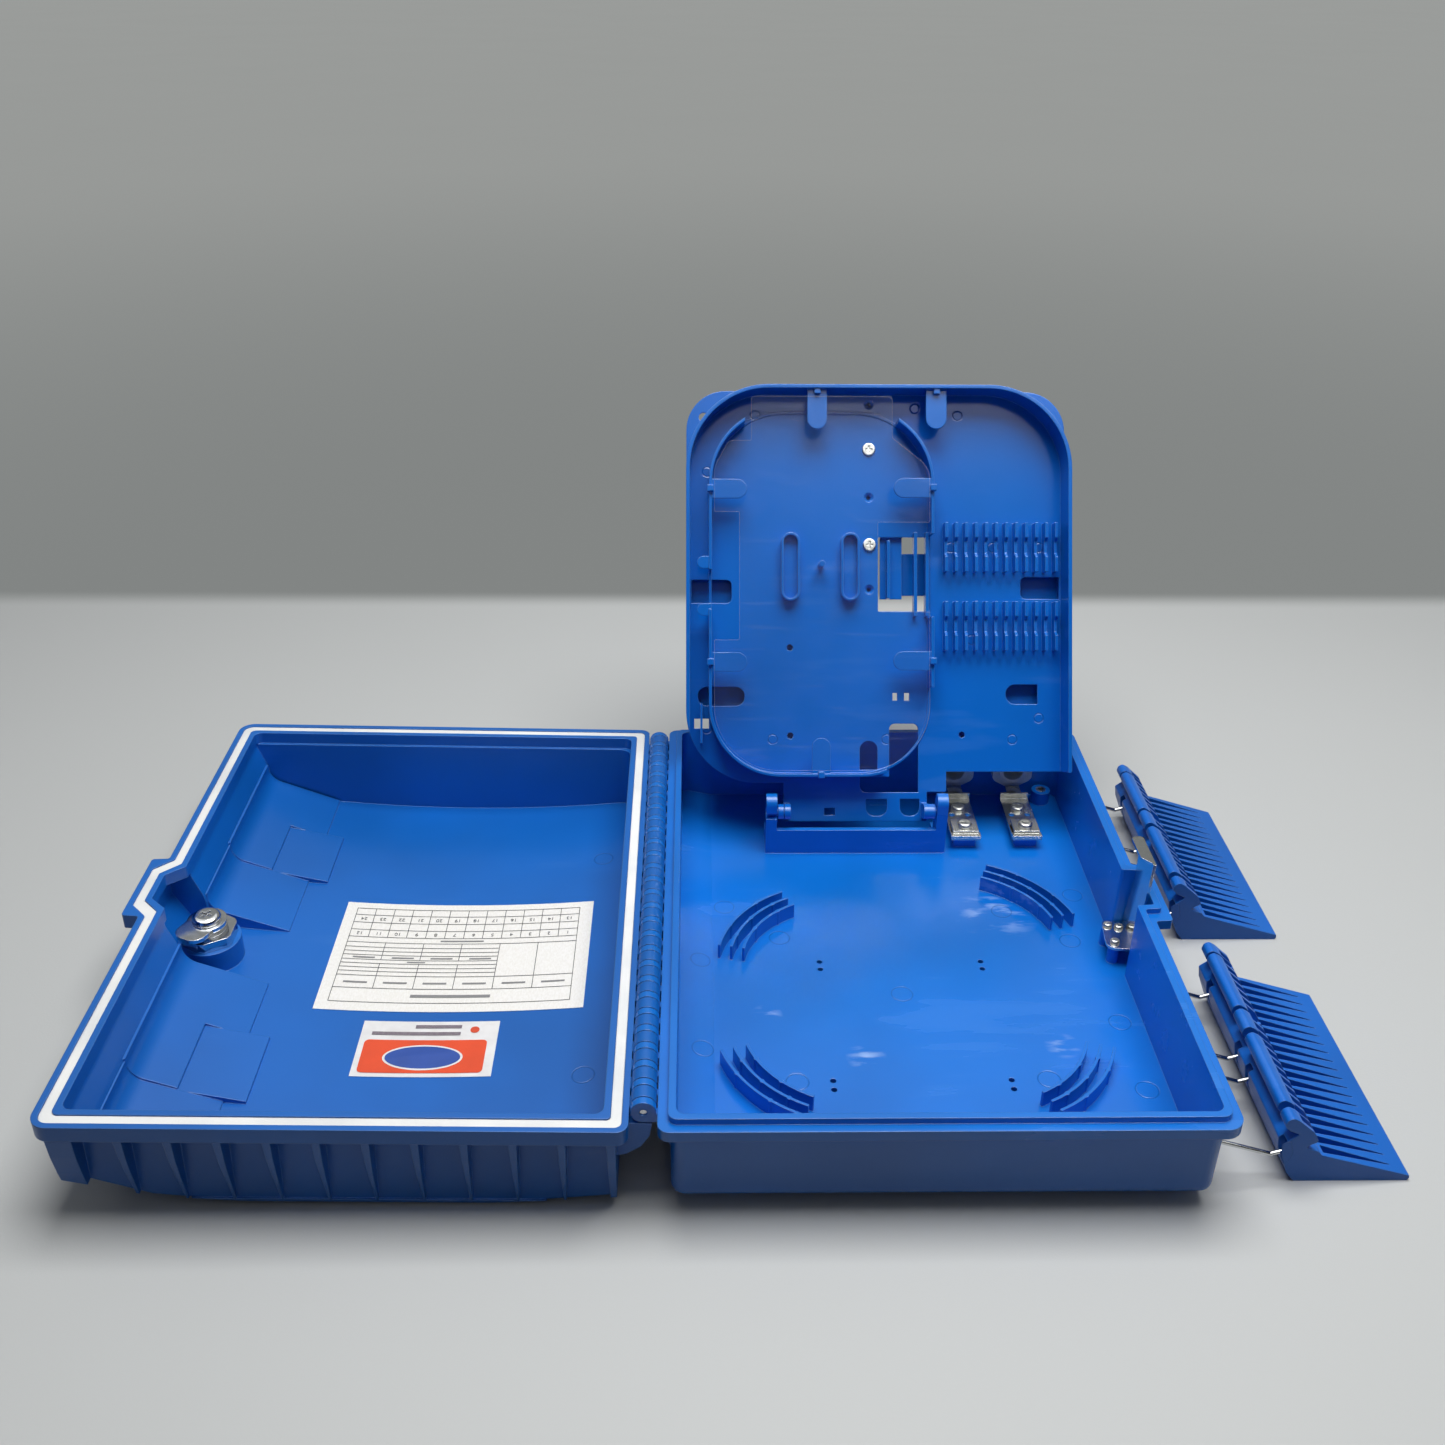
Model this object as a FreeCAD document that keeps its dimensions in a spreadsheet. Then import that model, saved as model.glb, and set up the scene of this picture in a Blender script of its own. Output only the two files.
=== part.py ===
import FreeCAD, Part
import os
import re
import Sketcher

# Open wall box for fibre cabling: base, lid turned fully open on its long hinge, leaning splice
# tray, two wire-bail latches lying on the bench.  Millimetres, +Z up, +Y away from the viewer,
# origin on the bench under the middle of the base.

doc = FreeCAD.newDocument("fibre_box")
sheet = doc.addObject("Spreadsheet::Sheet", "Sizes")
scratch = doc.addObject("Spreadsheet::Sheet", "Scratch")

SIZES = (
    ("base_width", 237), ("base_length", 317), ("rim_height", 50), ("foot_height", 7),
    ("floor_thick", 3), ("wall_inset", 5), ("wall_thick", 2.4), ("flange_thick", 5.2),
    ("lip_height", 3), ("lip_inset", 4.3), ("corner_round", 8), ("body_round", 5),
    ("niche_out", 8.4), ("niche_half", 22.8),
    ("hinge_gap", 5.8), ("barrel_rad", 5.3), ("knuckle_pitch", 10.8), ("knuckle_gap", 0.5),
    ("base_knuckle", 3.5), ("pin_rad", 1.5), ("pin_play", 0.06),
    ("lid_depth", 51.5), ("lid_skirt", 7.5), ("lid_wall", 3), ("crown_rad", 800),
    ("crown_mid", 108), ("lid_tilt", 1.04), ("rib_pitch", 19.56), ("rib_thick", 2),
    ("gasket_inset", 2.8), ("gasket_wide", 4.4), ("gasket_tall", 3),
    ("lock_u", 22.4), ("lock_rad", 9), ("cam_reach", 17),
    ("pivot_y", 95.4), ("pivot_z", 34.6), ("axle_rad", 2.5), ("axle_play", 0.08),
    ("post_half", 5), ("post_left", -64.2), ("post_right", 30.4), ("post_thick", 6),
    ("tray_left", -108.5), ("tray_right", 104.3), ("tray_top", 235.5), ("tray_low", 21.8),
    ("tray_plate", 2), ("tray_back", 9), ("tray_wall", 18), ("tray_skin", 2), ("tray_lean", 60),
    ("fin_rad", 60), ("fin_step", 6.2), ("fin_tall", 8.5), ("fin_thick", 1.3),
    ("clamp_a", 48.7), ("clamp_b", 83.2), ("clamp_wide", 16.4), ("clamp_z", 16.5),
    ("sheet_steel", 1.5), ("gland_rad", 8), ("gland_z", 31),
    ("striker_z", 20), ("striker_top", 73),
    ("bail_rad", 1), ("bail_play", 0.08), ("bail_z", 21.8), ("bail_out", 1.3),
    ("handle_long", 117), ("handle_near", -139.3), ("latch_step", 164.6),
)
names = set()
for row, (word, amount) in enumerate(SIZES, start=1):
    sheet.set("A%d" % row, word)
    sheet.set("B%d" % row, str(amount))
    sheet.setAlias("B%d" % row, word)
    names.add(word)
doc.recompute()

HALF_W = "base_width / 2"
HALF_L = "base_length / 2"
FLOOR = "(foot_height + floor_thick)"
HINGE_X = "(-base_width / 2 - hinge_gap)"
LID_X = "(-base_width / 2 - 2 * hinge_gap)"
SCRATCH = "A1"
WORD = re.compile(r"[a-z][a-z_]+")


def formula(text):
    """Expression text with every named size pointed at the sheet."""
    return WORD.sub(lambda found: "Sizes." + found.group(0), str(text))


def number(text):
    """Present value of an expression in named sizes."""
    if isinstance(text, (int, float)):
        return float(text)
    scratch.set(SCRATCH, "=" + formula(text))
    scratch.recompute()
    return float(scratch.get(SCRATCH))


def bind(obj, prop, text):
    obj.setExpression(prop, formula(text))


def seat(obj, spot, turn=None):
    """Puts an object at a spot given by three expressions."""
    obj.Placement = FreeCAD.Placement(FreeCAD.Vector(), turn or FreeCAD.Rotation())
    for letter, text in zip("xyz", spot):
        bind(obj, "Placement.Base." + letter, text)
    return obj


def box(name, across, along, up):
    obj = doc.addObject("Part::Box", name)
    for prop, (low, high) in zip(("Length", "Width", "Height"), (across, along, up)):
        bind(obj, prop, "(%s) - (%s)" % (high, low))
    return seat(obj, (across[0], along[0], up[0]))


TURNS = {
    "x": FreeCAD.Rotation(FreeCAD.Vector(0, 1, 0), 90),
    "y": FreeCAD.Rotation(FreeCAD.Vector(1, 0, 0), -90),
    "z": FreeCAD.Rotation(),
}


def rod(name, way, spot, radius, length):
    obj = doc.addObject("Part::Cylinder", name)
    bind(obj, "Radius", radius)
    bind(obj, "Height", length)
    return seat(obj, spot, TURNS[way])


def cone(name, spot, low_radius, high_radius, length):
    obj = doc.addObject("Part::Cone", name)
    bind(obj, "Radius1", low_radius)
    bind(obj, "Radius2", high_radius)
    bind(obj, "Height", length)
    return seat(obj, spot)


def ball(name, spot, radius):
    obj = doc.addObject("Part::Sphere", name)
    bind(obj, "Radius", radius)
    return seat(obj, spot)


PLANES = {
    "xy": (FreeCAD.Rotation(), (0, 0, 1)),
    "xz": (FreeCAD.Rotation(FreeCAD.Vector(1, 0, 0), 90), (0, 1, 0)),
    "yz": (FreeCAD.Rotation(FreeCAD.Vector(1, 1, 1), 120), (1, 0, 0)),
}


def prism(name, plane, points, low, high):
    """Straight-sided outline drawn in one plane and drawn out between two levels."""
    turn, way = PLANES[plane]
    sketch = doc.addObject("Sketcher::SketchObject", name + "_outline")
    spots = [(number(a), number(b)) for a, b in points]
    count = len(spots)
    for i in range(count):
        start = FreeCAD.Vector(spots[i][0], spots[i][1], 0)
        stop = FreeCAD.Vector(spots[(i + 1) % count][0], spots[(i + 1) % count][1], 0)
        sketch.addGeometry(Part.LineSegment(start, stop), False)
    for i in range(count):
        sketch.addConstraint(Sketcher.Constraint("Coincident", i, 2, (i + 1) % count, 1))
    for i in range(count):
        for kind, value, text, axis in (("DistanceX", spots[i][0], points[i][0], -2),
                                        ("DistanceY", spots[i][1], points[i][1], -1)):
            if abs(value) < 1e-9:
                sketch.addConstraint(Sketcher.Constraint("PointOnObject", i, 1, axis))
                continue
            rule = sketch.addConstraint(Sketcher.Constraint(kind, -1, 1, i, 1, value))
            bind(sketch, "Constraints[%d]" % rule, text)
    level = {"xy": (0, 0, low), "xz": (0, low, 0), "yz": (low, 0, 0)}[plane]
    seat(sketch, level, turn)
    obj = doc.addObject("Part::Extrusion", name)
    obj.Base = sketch
    obj.DirMode = "Custom"
    obj.Dir = FreeCAD.Vector(*way)
    obj.Solid = True
    bind(obj, "LengthFwd", "(%s) - (%s)" % (high, low))
    return obj


def soften(name, base, rounds):
    """Rounds chosen edges; each entry is a radius and a test on the edge."""
    base.recompute(True)
    picked = []
    for index, edge in enumerate(base.Shape.Edges, start=1):
        for radius, test in rounds:
            if radius > 0 and test(edge):
                picked.append((index, radius, radius))
                break
    obj = doc.addObject("Part::Fillet", name)
    obj.Base = base
    obj.Edges = picked
    return obj


def upright(edge):
    ends = [v.Point for v in edge.Vertexes]
    return len(ends) == 2 and abs(ends[0].z - ends[1].z) > 0.4 and (
        abs(ends[0].x - ends[1].x) + abs(ends[0].y - ends[1].y) < 1e-6)


def level_at(height):
    return lambda edge: abs(edge.BoundBox.ZMin - height) + abs(edge.BoundBox.ZMax - height) < 1e-4


def lengthwise(spot):
    """Test for an edge that runs along Y through a spot given as its x and z."""
    x, z = number(spot[0]), number(spot[1])
    return lambda edge: all(abs(v.X - x) + abs(v.Z - z) < 1e-3 for v in edge.Vertexes)


def plate(name, corners, low, high):
    """Outline in plan with its own corner radius at each point."""
    base = prism(name + "_block", "xy", [(a, b) for a, b, r in corners], low, high)
    rounds = []
    for a, b, radius in corners:
        if number(radius) <= 0:
            continue
        spot = (number(a), number(b))
        rounds.append((number(radius), lambda edge, spot=spot: upright(edge) and (
            abs(edge.Vertexes[0].X - spot[0]) + abs(edge.Vertexes[0].Y - spot[1]) < 1e-3)))
    return soften(name, base, rounds) if rounds else base


def fuse(name, *pieces):
    obj = doc.addObject("Part::MultiFuse", name)
    obj.Shapes = list(pieces)
    obj.Refine = True
    return obj


def cut(name, base, *tools):
    obj = doc.addObject("Part::Cut", name)
    obj.Base = base
    obj.Tool = tools[0] if len(tools) == 1 else fuse(name + "_tool", *tools)
    obj.Refine = True
    return obj


def common(name, *pieces):
    obj = doc.addObject("Part::MultiCommon", name)
    obj.Shapes = list(pieces)
    return obj


NODES = []


def node(obj, label, where=None):
    """Names a finished piece and, where it belongs to the lid or tray, sets it in place."""
    obj.Label = label
    if where is not None:
        obj.Placement = where
    NODES.append(obj)
    return obj


def both(text):
    return ("-(%s)" % text, text)


def lid_x(reach):
    return "%s - (%s)" % (LID_X, reach)


def lid_z(depth):
    return "rim_height - (%s)" % depth


def base_outline(inset, narrow, wide, far_round, hinge_round, niche_round):
    right = "%s - (%s)" % (HALF_W, inset)
    left = "-(%s)" % right
    end = "%s - (%s)" % (HALF_L, inset)
    bay = "%s + niche_out - (%s)" % (HALF_W, inset)
    return [(left, "-(%s)" % end, hinge_round), (right, "-(%s)" % end, far_round),
            (right, "-(%s)" % wide, niche_round), (bay, "-(%s)" % narrow, niche_round),
            (bay, narrow, niche_round), (right, wide, niche_round),
            (right, end, far_round), (left, end, hinge_round)]


def lid_outline(inset, narrow, wide, far_round, hinge_round, niche_round):
    near_hinge = lid_x(inset)
    far = lid_x("base_width - (%s)" % inset)
    bay = lid_x("base_width + niche_out - (%s)" % inset)
    end = "%s - (%s)" % (HALF_L, inset)
    return [(near_hinge, "-(%s)" % end, hinge_round), (near_hinge, end, hinge_round),
            (far, end, far_round), (far, wide, niche_round), (bay, narrow, niche_round),
            (bay, "-(%s)" % narrow, niche_round), (far, "-(%s)" % wide, niche_round),
            (far, "-(%s)" % end, far_round)]


# Base: one deep moulded tub with a rim flange, a seal lip, the striker niche in its right wall,
# the tray bracket, coil fins, clamp bosses, latch lugs, hinge knuckles and four back feet.
tub = box("tub_block", both(HALF_W + " - wall_inset"), both(HALF_L + " - wall_inset"),
          ("foot_height", "rim_height - 1"))
tub = soften("tub", tub, [(number("corner_round") - 2, upright),
                          (number("body_round"), level_at(number("foot_height")))])
flange = plate("flange", base_outline("0", "niche_half", "niche_half + 0.6", "corner_round",
                                      "corner_round - 3", 1.5),
               "rim_height - flange_thick", "rim_height")
niche = plate("niche_wall", [
    ("%s - 20" % HALF_W, "-(niche_half - wall_inset)", 0),
    ("%s + niche_out - wall_inset" % HALF_W, "-(niche_half - wall_inset)", 3),
    ("%s + niche_out - wall_inset" % HALF_W, "niche_half - wall_inset", 3),
    ("%s - 20" % HALF_W, "niche_half - wall_inset", 0)], "foot_height + 2", "rim_height - 1")
lip = plate("lip", base_outline("lip_inset", "niche_half - 5.5", "niche_half - 5", "corner_round - 3",
                                "corner_round - 4", 2), "rim_height - 1", "rim_height + lip_height")
hollow = plate("hollow", base_outline("wall_inset + wall_thick", "niche_half - 8.6",
                                      "niche_half - 8.2", "corner_round - 4", "corner_round - 4", 1.5),
               FLOOR, "rim_height + 20")
shell = cut("shell", fuse("shell_walls", tub, flange, niche, lip), hollow)

inner_x = "(%s - wall_inset - wall_thick)" % HALF_W
inner_y = "(%s - wall_inset - wall_thick)" % HALF_L
ramp = prism("floor_ramp", "xz", [
    ("-%s - 0.5" % inner_x, FLOOR + " - 0.5"), ("-%s + 16.6" % inner_x, FLOOR + " - 0.5"),
    ("-%s + 16.6" % inner_x, FLOOR + " + 0.02"), ("-%s - 0.5" % inner_x, FLOOR + " + 3.6")],
    "-%s - 0.5" % inner_y, "%s + 0.5" % inner_y)

# Tray bracket: two round-topped posts joined by a low front bar.
bracket = []
for side, start in (("left", "post_left"), ("right", "post_right")):
    bracket.append(box("post_" + side, (start, start + " + post_thick"),
                       ("pivot_y - post_half", "pivot_y + post_half"),
                       (FLOOR + " - 0.5", "pivot_z + 6")))
    bracket.append(rod("post_top_" + side, "x", (start, "pivot_y", "pivot_z + 6"), "post_half",
                       "post_thick"))
    bracket.append(box("post_heel_" + side, (start, start + " + post_thick"),
                       ("pivot_y + post_half - 0.5", "pivot_y + post_half + 9"),
                       (FLOOR + " - 0.5", FLOOR + " + 8")))
bracket.append(box("bracket_bar", ("post_left + post_thick - 0.5", "post_right + 0.5"),
                   ("pivot_y - post_half", "pivot_y - post_half + 2.8"),
                   (FLOOR + " - 0.5", "pivot_z - 9.2")))
axle_bore = rod("axle_bore", "x", ("post_left - 2", "pivot_y", "pivot_z"), "axle_rad + axle_play",
                "post_right - post_left + post_thick + 4")
snap_slot = box("snap_slot", ("post_left - 1", "post_left + post_thick + 1"),
                ("pivot_y - post_half - 1", "pivot_y"),
                ("pivot_z - 0.75 * axle_rad", "pivot_z + 0.75 * axle_rad"))

# Coil fins: three concentric walls with small beads in each quarter of the floor.
FIN_GROUPS = ((-26.6, -15, 143, 25), (29.4, 6.6, 41, 26), (-27.9, -58, 220.5, 24), (26.4, -56.5, 319.7, 23))
BEADS = ((-0.55, 0.25), (-0.62, 0.0, 0.62), (-0.4, 0.4))
fins = []
for group, (cx, cy, middle, spread) in enumerate(FIN_GROUPS):
    for ring in (-1, 0, 1):
        tag = "fin_%d_%d" % (group, ring + 1)
        centre = "fin_rad + %d * fin_step" % ring
        outer = rod(tag + "_out", "z", (cx, cy, FLOOR + " - 0.5"), centre + " + fin_thick / 2",
                    "fin_tall + 0.5")
        outer.Angle = 2 * spread
        outer.Placement = FreeCAD.Placement(
            outer.Placement.Base, FreeCAD.Rotation(FreeCAD.Vector(0, 0, 1), middle - spread))
        inner = rod(tag + "_in", "z", (cx, cy, FLOOR + " - 1"), centre + " - fin_thick / 2",
                    "fin_tall + 2")
        fins.append(cut(tag, outer, inner))
        for place, share in enumerate(BEADS[ring + 1]):
            bead = FreeCAD.Rotation(FreeCAD.Vector(0, 0, 1), middle + share * spread)
            toward = bead.multVec(FreeCAD.Vector(1, 0, 0))
            fins.append(rod("%s_bead_%d" % (tag, place), "z",
                            ("%g + (%s) * %.4f" % (cx, centre, toward.x),
                             "%g + (%s) * %.4f" % (cy, centre, toward.y), FLOOR + " - 0.5"),
                            "fin_thick * 0.85", "fin_tall + 0.5"))

# Bosses: two under the cable clamps, one for the striker foot, one ringed for the earth insert.
bosses = []
pilots = []
CLAMP_SCREWS = (("front", 56.5), ("rear", 35))
for tag, middle in (("a", "clamp_a"), ("b", "clamp_b")):
    bosses.append(box("clamp_boss_" + tag, (middle + " - 6", middle + " + 6"),
                      (HALF_L + " - 62", HALF_L + " - 26"), (FLOOR + " - 0.5", "clamp_z")))
    for spot, reach in CLAMP_SCREWS:
        pilots.append(rod("clamp_pilot_%s_%s" % (tag, spot), "z",
                          (middle, "%s - %g" % (HALF_L, reach), "clamp_z - 7"), 1.6, 8))
striker_x = "%s - 16" % HALF_W
STRIKER_SCREWS = ((4.6, 9.8), (9.8, 8.2), (5, -3.6))
for place, (across, along) in enumerate(STRIKER_SCREWS):
    bosses.append(rod("striker_boss_%d" % place, "z",
                      ("%s + %g" % (striker_x, across), along, FLOOR + " - 0.5"), 2.9,
                      "striker_z - %s + 0.5" % FLOOR))
    pilots.append(rod("striker_pilot_%d" % place, "z",
                      ("%s + %g" % (striker_x, across), along, "striker_z - 8"), 1.3, 9))
earth_spot = (HALF_W + " - 17.5", HALF_L + " - 14.5")
bosses.append(rod("earth_boss", "z", earth_spot + (FLOOR + " - 0.5",), 5.4, 8.5))
pilots.append(rod("earth_pilot", "z", earth_spot + (FLOOR + " + 1",), 3, 8))

# Latch lugs under the right flange, four for each latch, bored for the wire ends.
LEGS = ((2.3, 45.3), (60, 102.6))
pivot_x = "(%s - bail_out)" % HALF_W
lugs = []
for latch in (0, 1):
    for pair, (first, second) in enumerate(LEGS):
        for end, shift in ((first, 2.5), (second, -9.5)):
            low = "handle_near + %d * latch_step + %g" % (latch, end + shift)
            tag = "%d_%d_%d" % (latch, pair, shift > 0)
            lugs.append(box("lug_" + tag, (HALF_W + " - wall_inset - 1", pivot_x),
                            (low, low + " + 7"), ("bail_z - 3", "bail_z + 3")))
            lugs.append(rod("lug_nose_" + tag, "y", (pivot_x, low, "bail_z"), 3, 7))
lug_bore = rod("lug_bore", "y", (pivot_x, "-%s" % HALF_L, "bail_z"), "bail_rad + bail_play",
               "base_length")

# Hinge side: a long barrel on a web, slotted so that only the narrow base knuckles stay.
KNUCKLES = 27
BARREL_LOW = "(-%g * knuckle_pitch - base_knuckle / 2)" % (KNUCKLES / 2)
BARREL_LONG = "(%d * knuckle_pitch + base_knuckle)" % KNUCKLES
barrel = rod("base_barrel", "y", (HINGE_X, BARREL_LOW, "rim_height"), "barrel_rad", BARREL_LONG)
web = box("base_web", (HINGE_X, "-%s + 1" % HALF_W), (BARREL_LOW, BARREL_LOW + " + " + BARREL_LONG),
          ("rim_height - flange_thick", "rim_height - 0.8"))
slots = []
for k in range(KNUCKLES):
    low = "%s + %d * knuckle_pitch + base_knuckle" % (BARREL_LOW, k)
    slots.append(box("base_slot_%d" % k, (HINGE_X + " - barrel_rad - 1", "-%s" % HALF_W),
                     (low, low + " + knuckle_pitch - base_knuckle"),
                     ("rim_height - barrel_rad - 1", "rim_height + barrel_rad + 1")))
knuckles = cut("base_knuckles", fuse("base_leaf", barrel, web), *slots)
pin_bore = rod("base_pin_bore", "y", (HINGE_X, BARREL_LOW + " - 1", "rim_height"),
               "pin_rad + pin_play", BARREL_LONG + " + 2")
gussets = []
for tag, low in (("near", BARREL_LOW), ("far", "-%s - 4" % BARREL_LOW)):
    gussets.append(prism("base_gusset_" + tag, "xz", [
        ("-%s + 0.2" % HALF_W, "rim_height - flange_thick + 0.5"),
        ("-%s + wall_inset + 1" % HALF_W, "rim_height - flange_thick + 0.5"),
        ("-%s + wall_inset + 1" % HALF_W, "rim_height - flange_thick - 16")], low, low + " + 4"))

feet = []
foot_holes = []
FOOT_SPREAD = (26, 30)
for sx in (-1, 1):
    for sy in (-1, 1):
        tag = "%d_%d" % (sx + 1, sy + 1)
        fx = "%d * (%s - %d)" % (sx, HALF_W, FOOT_SPREAD[0])
        fy = "%d * (%s - %d)" % (sy, HALF_L, FOOT_SPREAD[1])
        feet.append(box("foot_" + tag, (fx + " - 11", fx + " + 11"), (fy + " - 11", fy + " + 11"),
                        (0, "foot_height + 0.5")))
        foot_holes.append(rod("foot_hole_" + tag, "z", (fx, fy, -1), 2.1, "foot_height + 1"))

ties = []
for sx in (-40.7, 40.7):
    for sy in (-4.5, -10.2, -88.4, -94.1):
        ties.append(rod("tie_hole_%d_%d" % (sx, sy * 10), "z", (sx, sy, "foot_height - 1"), 1.4,
                        "floor_thick + 2"))
ports = []
for tag, middle in (("a", "clamp_a"), ("b", "clamp_b")):
    ports.append(rod("port_" + tag, "y", (middle, "%s - 12" % HALF_L, "gland_z"),
                     "gland_rad + 0.1", 20))

grown = fuse("base_grown", shell, ramp, *(bracket + fins + bosses + lugs + gussets + feet))
base_shell = cut("base_shell", fuse("base_whole", grown, knuckles), axle_bore, snap_slot, lug_bore,
                 pin_bore, *(pilots + foot_holes + ties + ports))
node(base_shell, "base_shell")

# Steel wire threaded through every knuckle of both leaves.
node(rod("pin", "y", (HINGE_X, BARREL_LOW + " + 0.5", "rim_height"), "pin_rad", BARREL_LONG + " - 1"),
     "hinge_pin")

# Cable glands: a threaded body through the far wall, a lock nut inside and a dome nut outside.
wall_in = "(%s - wall_inset - wall_thick)" % HALF_L
wall_out = "(%s - wall_inset)" % HALF_L


def hexagon(name, way, spot, across, length):
    """Six-sided nut blank with its corners trimmed round."""
    half = across / 2
    slab_set = []
    for k in range(3):
        slab = doc.addObject("Part::Box", "%s_slab_%d" % (name, k))
        slab.Length = across
        slab.Width = 2 * across
        bind(slab, "Height", length)
        spin = FreeCAD.Rotation(FreeCAD.Vector(0, 0, 1), 60 * k)
        turn = TURNS[way].multiply(spin)
        slab.Placement = FreeCAD.Placement(FreeCAD.Vector(), turn)
        off = turn.multVec(FreeCAD.Vector(-half, -across, 0))
        for letter, text, shift in zip("xyz", spot, off):
            bind(slab, "Placement.Base." + letter, "%s + (%.6f)" % (text, shift))
        slab_set.append(slab)
    trim = rod(name + "_trim", way, spot, half * 1.09, length)
    return common(name, *(slab_set + [trim]))


for tag, middle in (("a", "clamp_a"), ("b", "clamp_b")):
    stem = rod("gland_stem_" + tag, "y", (middle, wall_in + " - 8", "gland_z"), "gland_rad",
               "wall_thick + 19")
    collar = rod("gland_collar_" + tag, "y", (middle, wall_out + " + 0.02", "gland_z"),
                 "gland_rad + 3.5", 5)
    way_in = rod("gland_way_" + tag, "y", (middle, wall_in + " - 9", "gland_z"), "gland_rad - 2.2",
                 "wall_thick + 22")
    node(cut("gland_body_" + tag, fuse("gland_blank_" + tag, stem, collar), way_in),
         "gland_body_" + tag)
    nut = hexagon("gland_nut_blank_" + tag, "y", (middle, wall_in + " - 6.5", "gland_z"), 23, 6.4)
    node(cut("gland_nut_" + tag, nut, rod("gland_nut_bore_" + tag, "y",
                                          (middle, wall_in + " - 8", "gland_z"), "gland_rad + 0.05",
                                          10)), "gland_nut_" + tag)
    dome = fuse("gland_dome_" + tag,
                hexagon("gland_cap_hex_" + tag, "y", (middle, wall_out + " + 5.2", "gland_z"), 22, 9),
                rod("gland_cap_nose_" + tag, "y", (middle, wall_out + " + 13", "gland_z"), 9.5, 9))
    hole = rod("gland_cap_hole_" + tag, "y", (middle, wall_out + " + 4", "gland_z"),
               "gland_rad + 0.05", 13.2)
    mouth = rod("gland_cap_mouth_" + tag, "y", (middle, wall_out + " + 4", "gland_z"),
                "gland_rad - 2.2", 24)
    node(cut("gland_cap_" + tag, dome, hole, mouth), "gland_cap_" + tag)

# Cable clamps: a stepped sheet bracket with a tongue for the strength member, a folded jaw and
# two pan-head screws each.
screws = []


def pan_screw(name, spot, head, tall, shank, long):
    cap = rod(name + "_cap", "z", spot, head, tall)
    base = soften(name + "_head", cap, [(tall * 0.62, level_at(number(spot[2]) + tall))])
    slot = box(name + "_slot", ("%s - %g" % (spot[0], head), "%s + %g" % (spot[0], head)),
               ("%s - 0.35" % spot[1], "%s + 0.35" % spot[1]),
               ("%s + %g" % (spot[2], tall * 0.5), "%s + %g" % (spot[2], tall + 1)))
    stem = rod(name + "_stem", "z", (spot[0], spot[1], "%s - %g" % (spot[2], long)), shank, long + 0.2)
    return cut(name, fuse(name + "_blank", base, stem), slot)


for tag, middle in (("a", "clamp_a"), ("b", "clamp_b")):
    side = (middle + " - clamp_wide / 2", middle + " + clamp_wide / 2")
    neck = (middle + " - 4.2", middle + " + 4.2")
    narrow = (middle + " - clamp_wide / 2 + 1", middle + " + clamp_wide / 2 - 1")
    top = "clamp_z + sheet_steel"
    deck = box("clamp_deck_" + tag, side, (HALF_L + " - 65", HALF_L + " - 23"), ("clamp_z", top))
    riser = box("clamp_riser_" + tag, side, (HALF_L + " - 24.5", HALF_L + " - 23"),
                ("clamp_z", "clamp_z + 5"))
    tongue = box("clamp_tongue_" + tag, neck, (HALF_L + " - 24.5", HALF_L + " - 15.5"),
                 ("clamp_z + 3.5", "clamp_z + 5"))
    bracket_blank = fuse("clamp_blank_" + tag, deck, riser, tongue)
    holes = []
    for spot, reach in CLAMP_SCREWS:
        holes.append(rod("clamp_hole_%s_%s" % (tag, spot), "z",
                         (middle, "%s - %g" % (HALF_L, reach), "clamp_z - 1"), 1.75, 5))
    for shift in (-4.6, 4.6):
        holes.append(rod("clamp_eye_%s_%d" % (tag, shift > 0), "z",
                         ("%s + %g" % (middle, shift), HALF_L + " - 41.5", "clamp_z - 1"), 1.7, 5))
    node(cut("clamp_bracket_" + tag, bracket_blank, *holes), "clamp_bracket_" + tag)
    jaw_low = top + " + 0.02"
    jaw = fuse("clamp_jaw_blank_" + tag,
               box("jaw_top_" + tag, narrow, (HALF_L + " - 62.5", HALF_L + " - 50"),
                   (jaw_low + " + 1.6", jaw_low + " + 3")),
               box("jaw_heel_" + tag, narrow, (HALF_L + " - 51.4", HALF_L + " - 50"),
                   (jaw_low, jaw_low + " + 3")),
               box("jaw_toe_" + tag, narrow, (HALF_L + " - 62.5", HALF_L + " - 61.1"),
                   (jaw_low, jaw_low + " + 3")),
               box("jaw_lip_" + tag, side, (HALF_L + " - 65", HALF_L + " - 61.1"),
                   (jaw_low, jaw_low + " + 1.2")))
    node(cut("clamp_jaw_" + tag, jaw, rod("jaw_hole_" + tag, "z",
                                          (middle, "%s - %g" % (HALF_L, CLAMP_SCREWS[0][1]), "clamp_z"),
                                          1.75, 8)),
         "clamp_jaw_" + tag)
    for (spot, reach), seat_z, stem in zip(CLAMP_SCREWS, (jaw_low + " + 3.02", top + " + 0.02"), (9.6, 6.6)):
        screws.append(pan_screw("clamp_screw_%s_%s" % (spot, tag),
                                (middle, "%s - %g" % (HALF_L, reach), seat_z), 4, 2.3, 1.5, stem))
clamp_screws = doc.addObject("Part::Compound", "clamp_screw_set")
clamp_screws.Links = screws
node(clamp_screws, "clamp_screws")

# Earth insert: a plated collar pressed into its boss.
node(cut("earth_insert", rod("earth_sleeve", "z", earth_spot + (FLOOR + " + 1.2",), 2.95, 7.2),
         rod("earth_thread", "z", earth_spot + (FLOOR + " + 2",), 1.7, 8)), "earth_insert")

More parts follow.
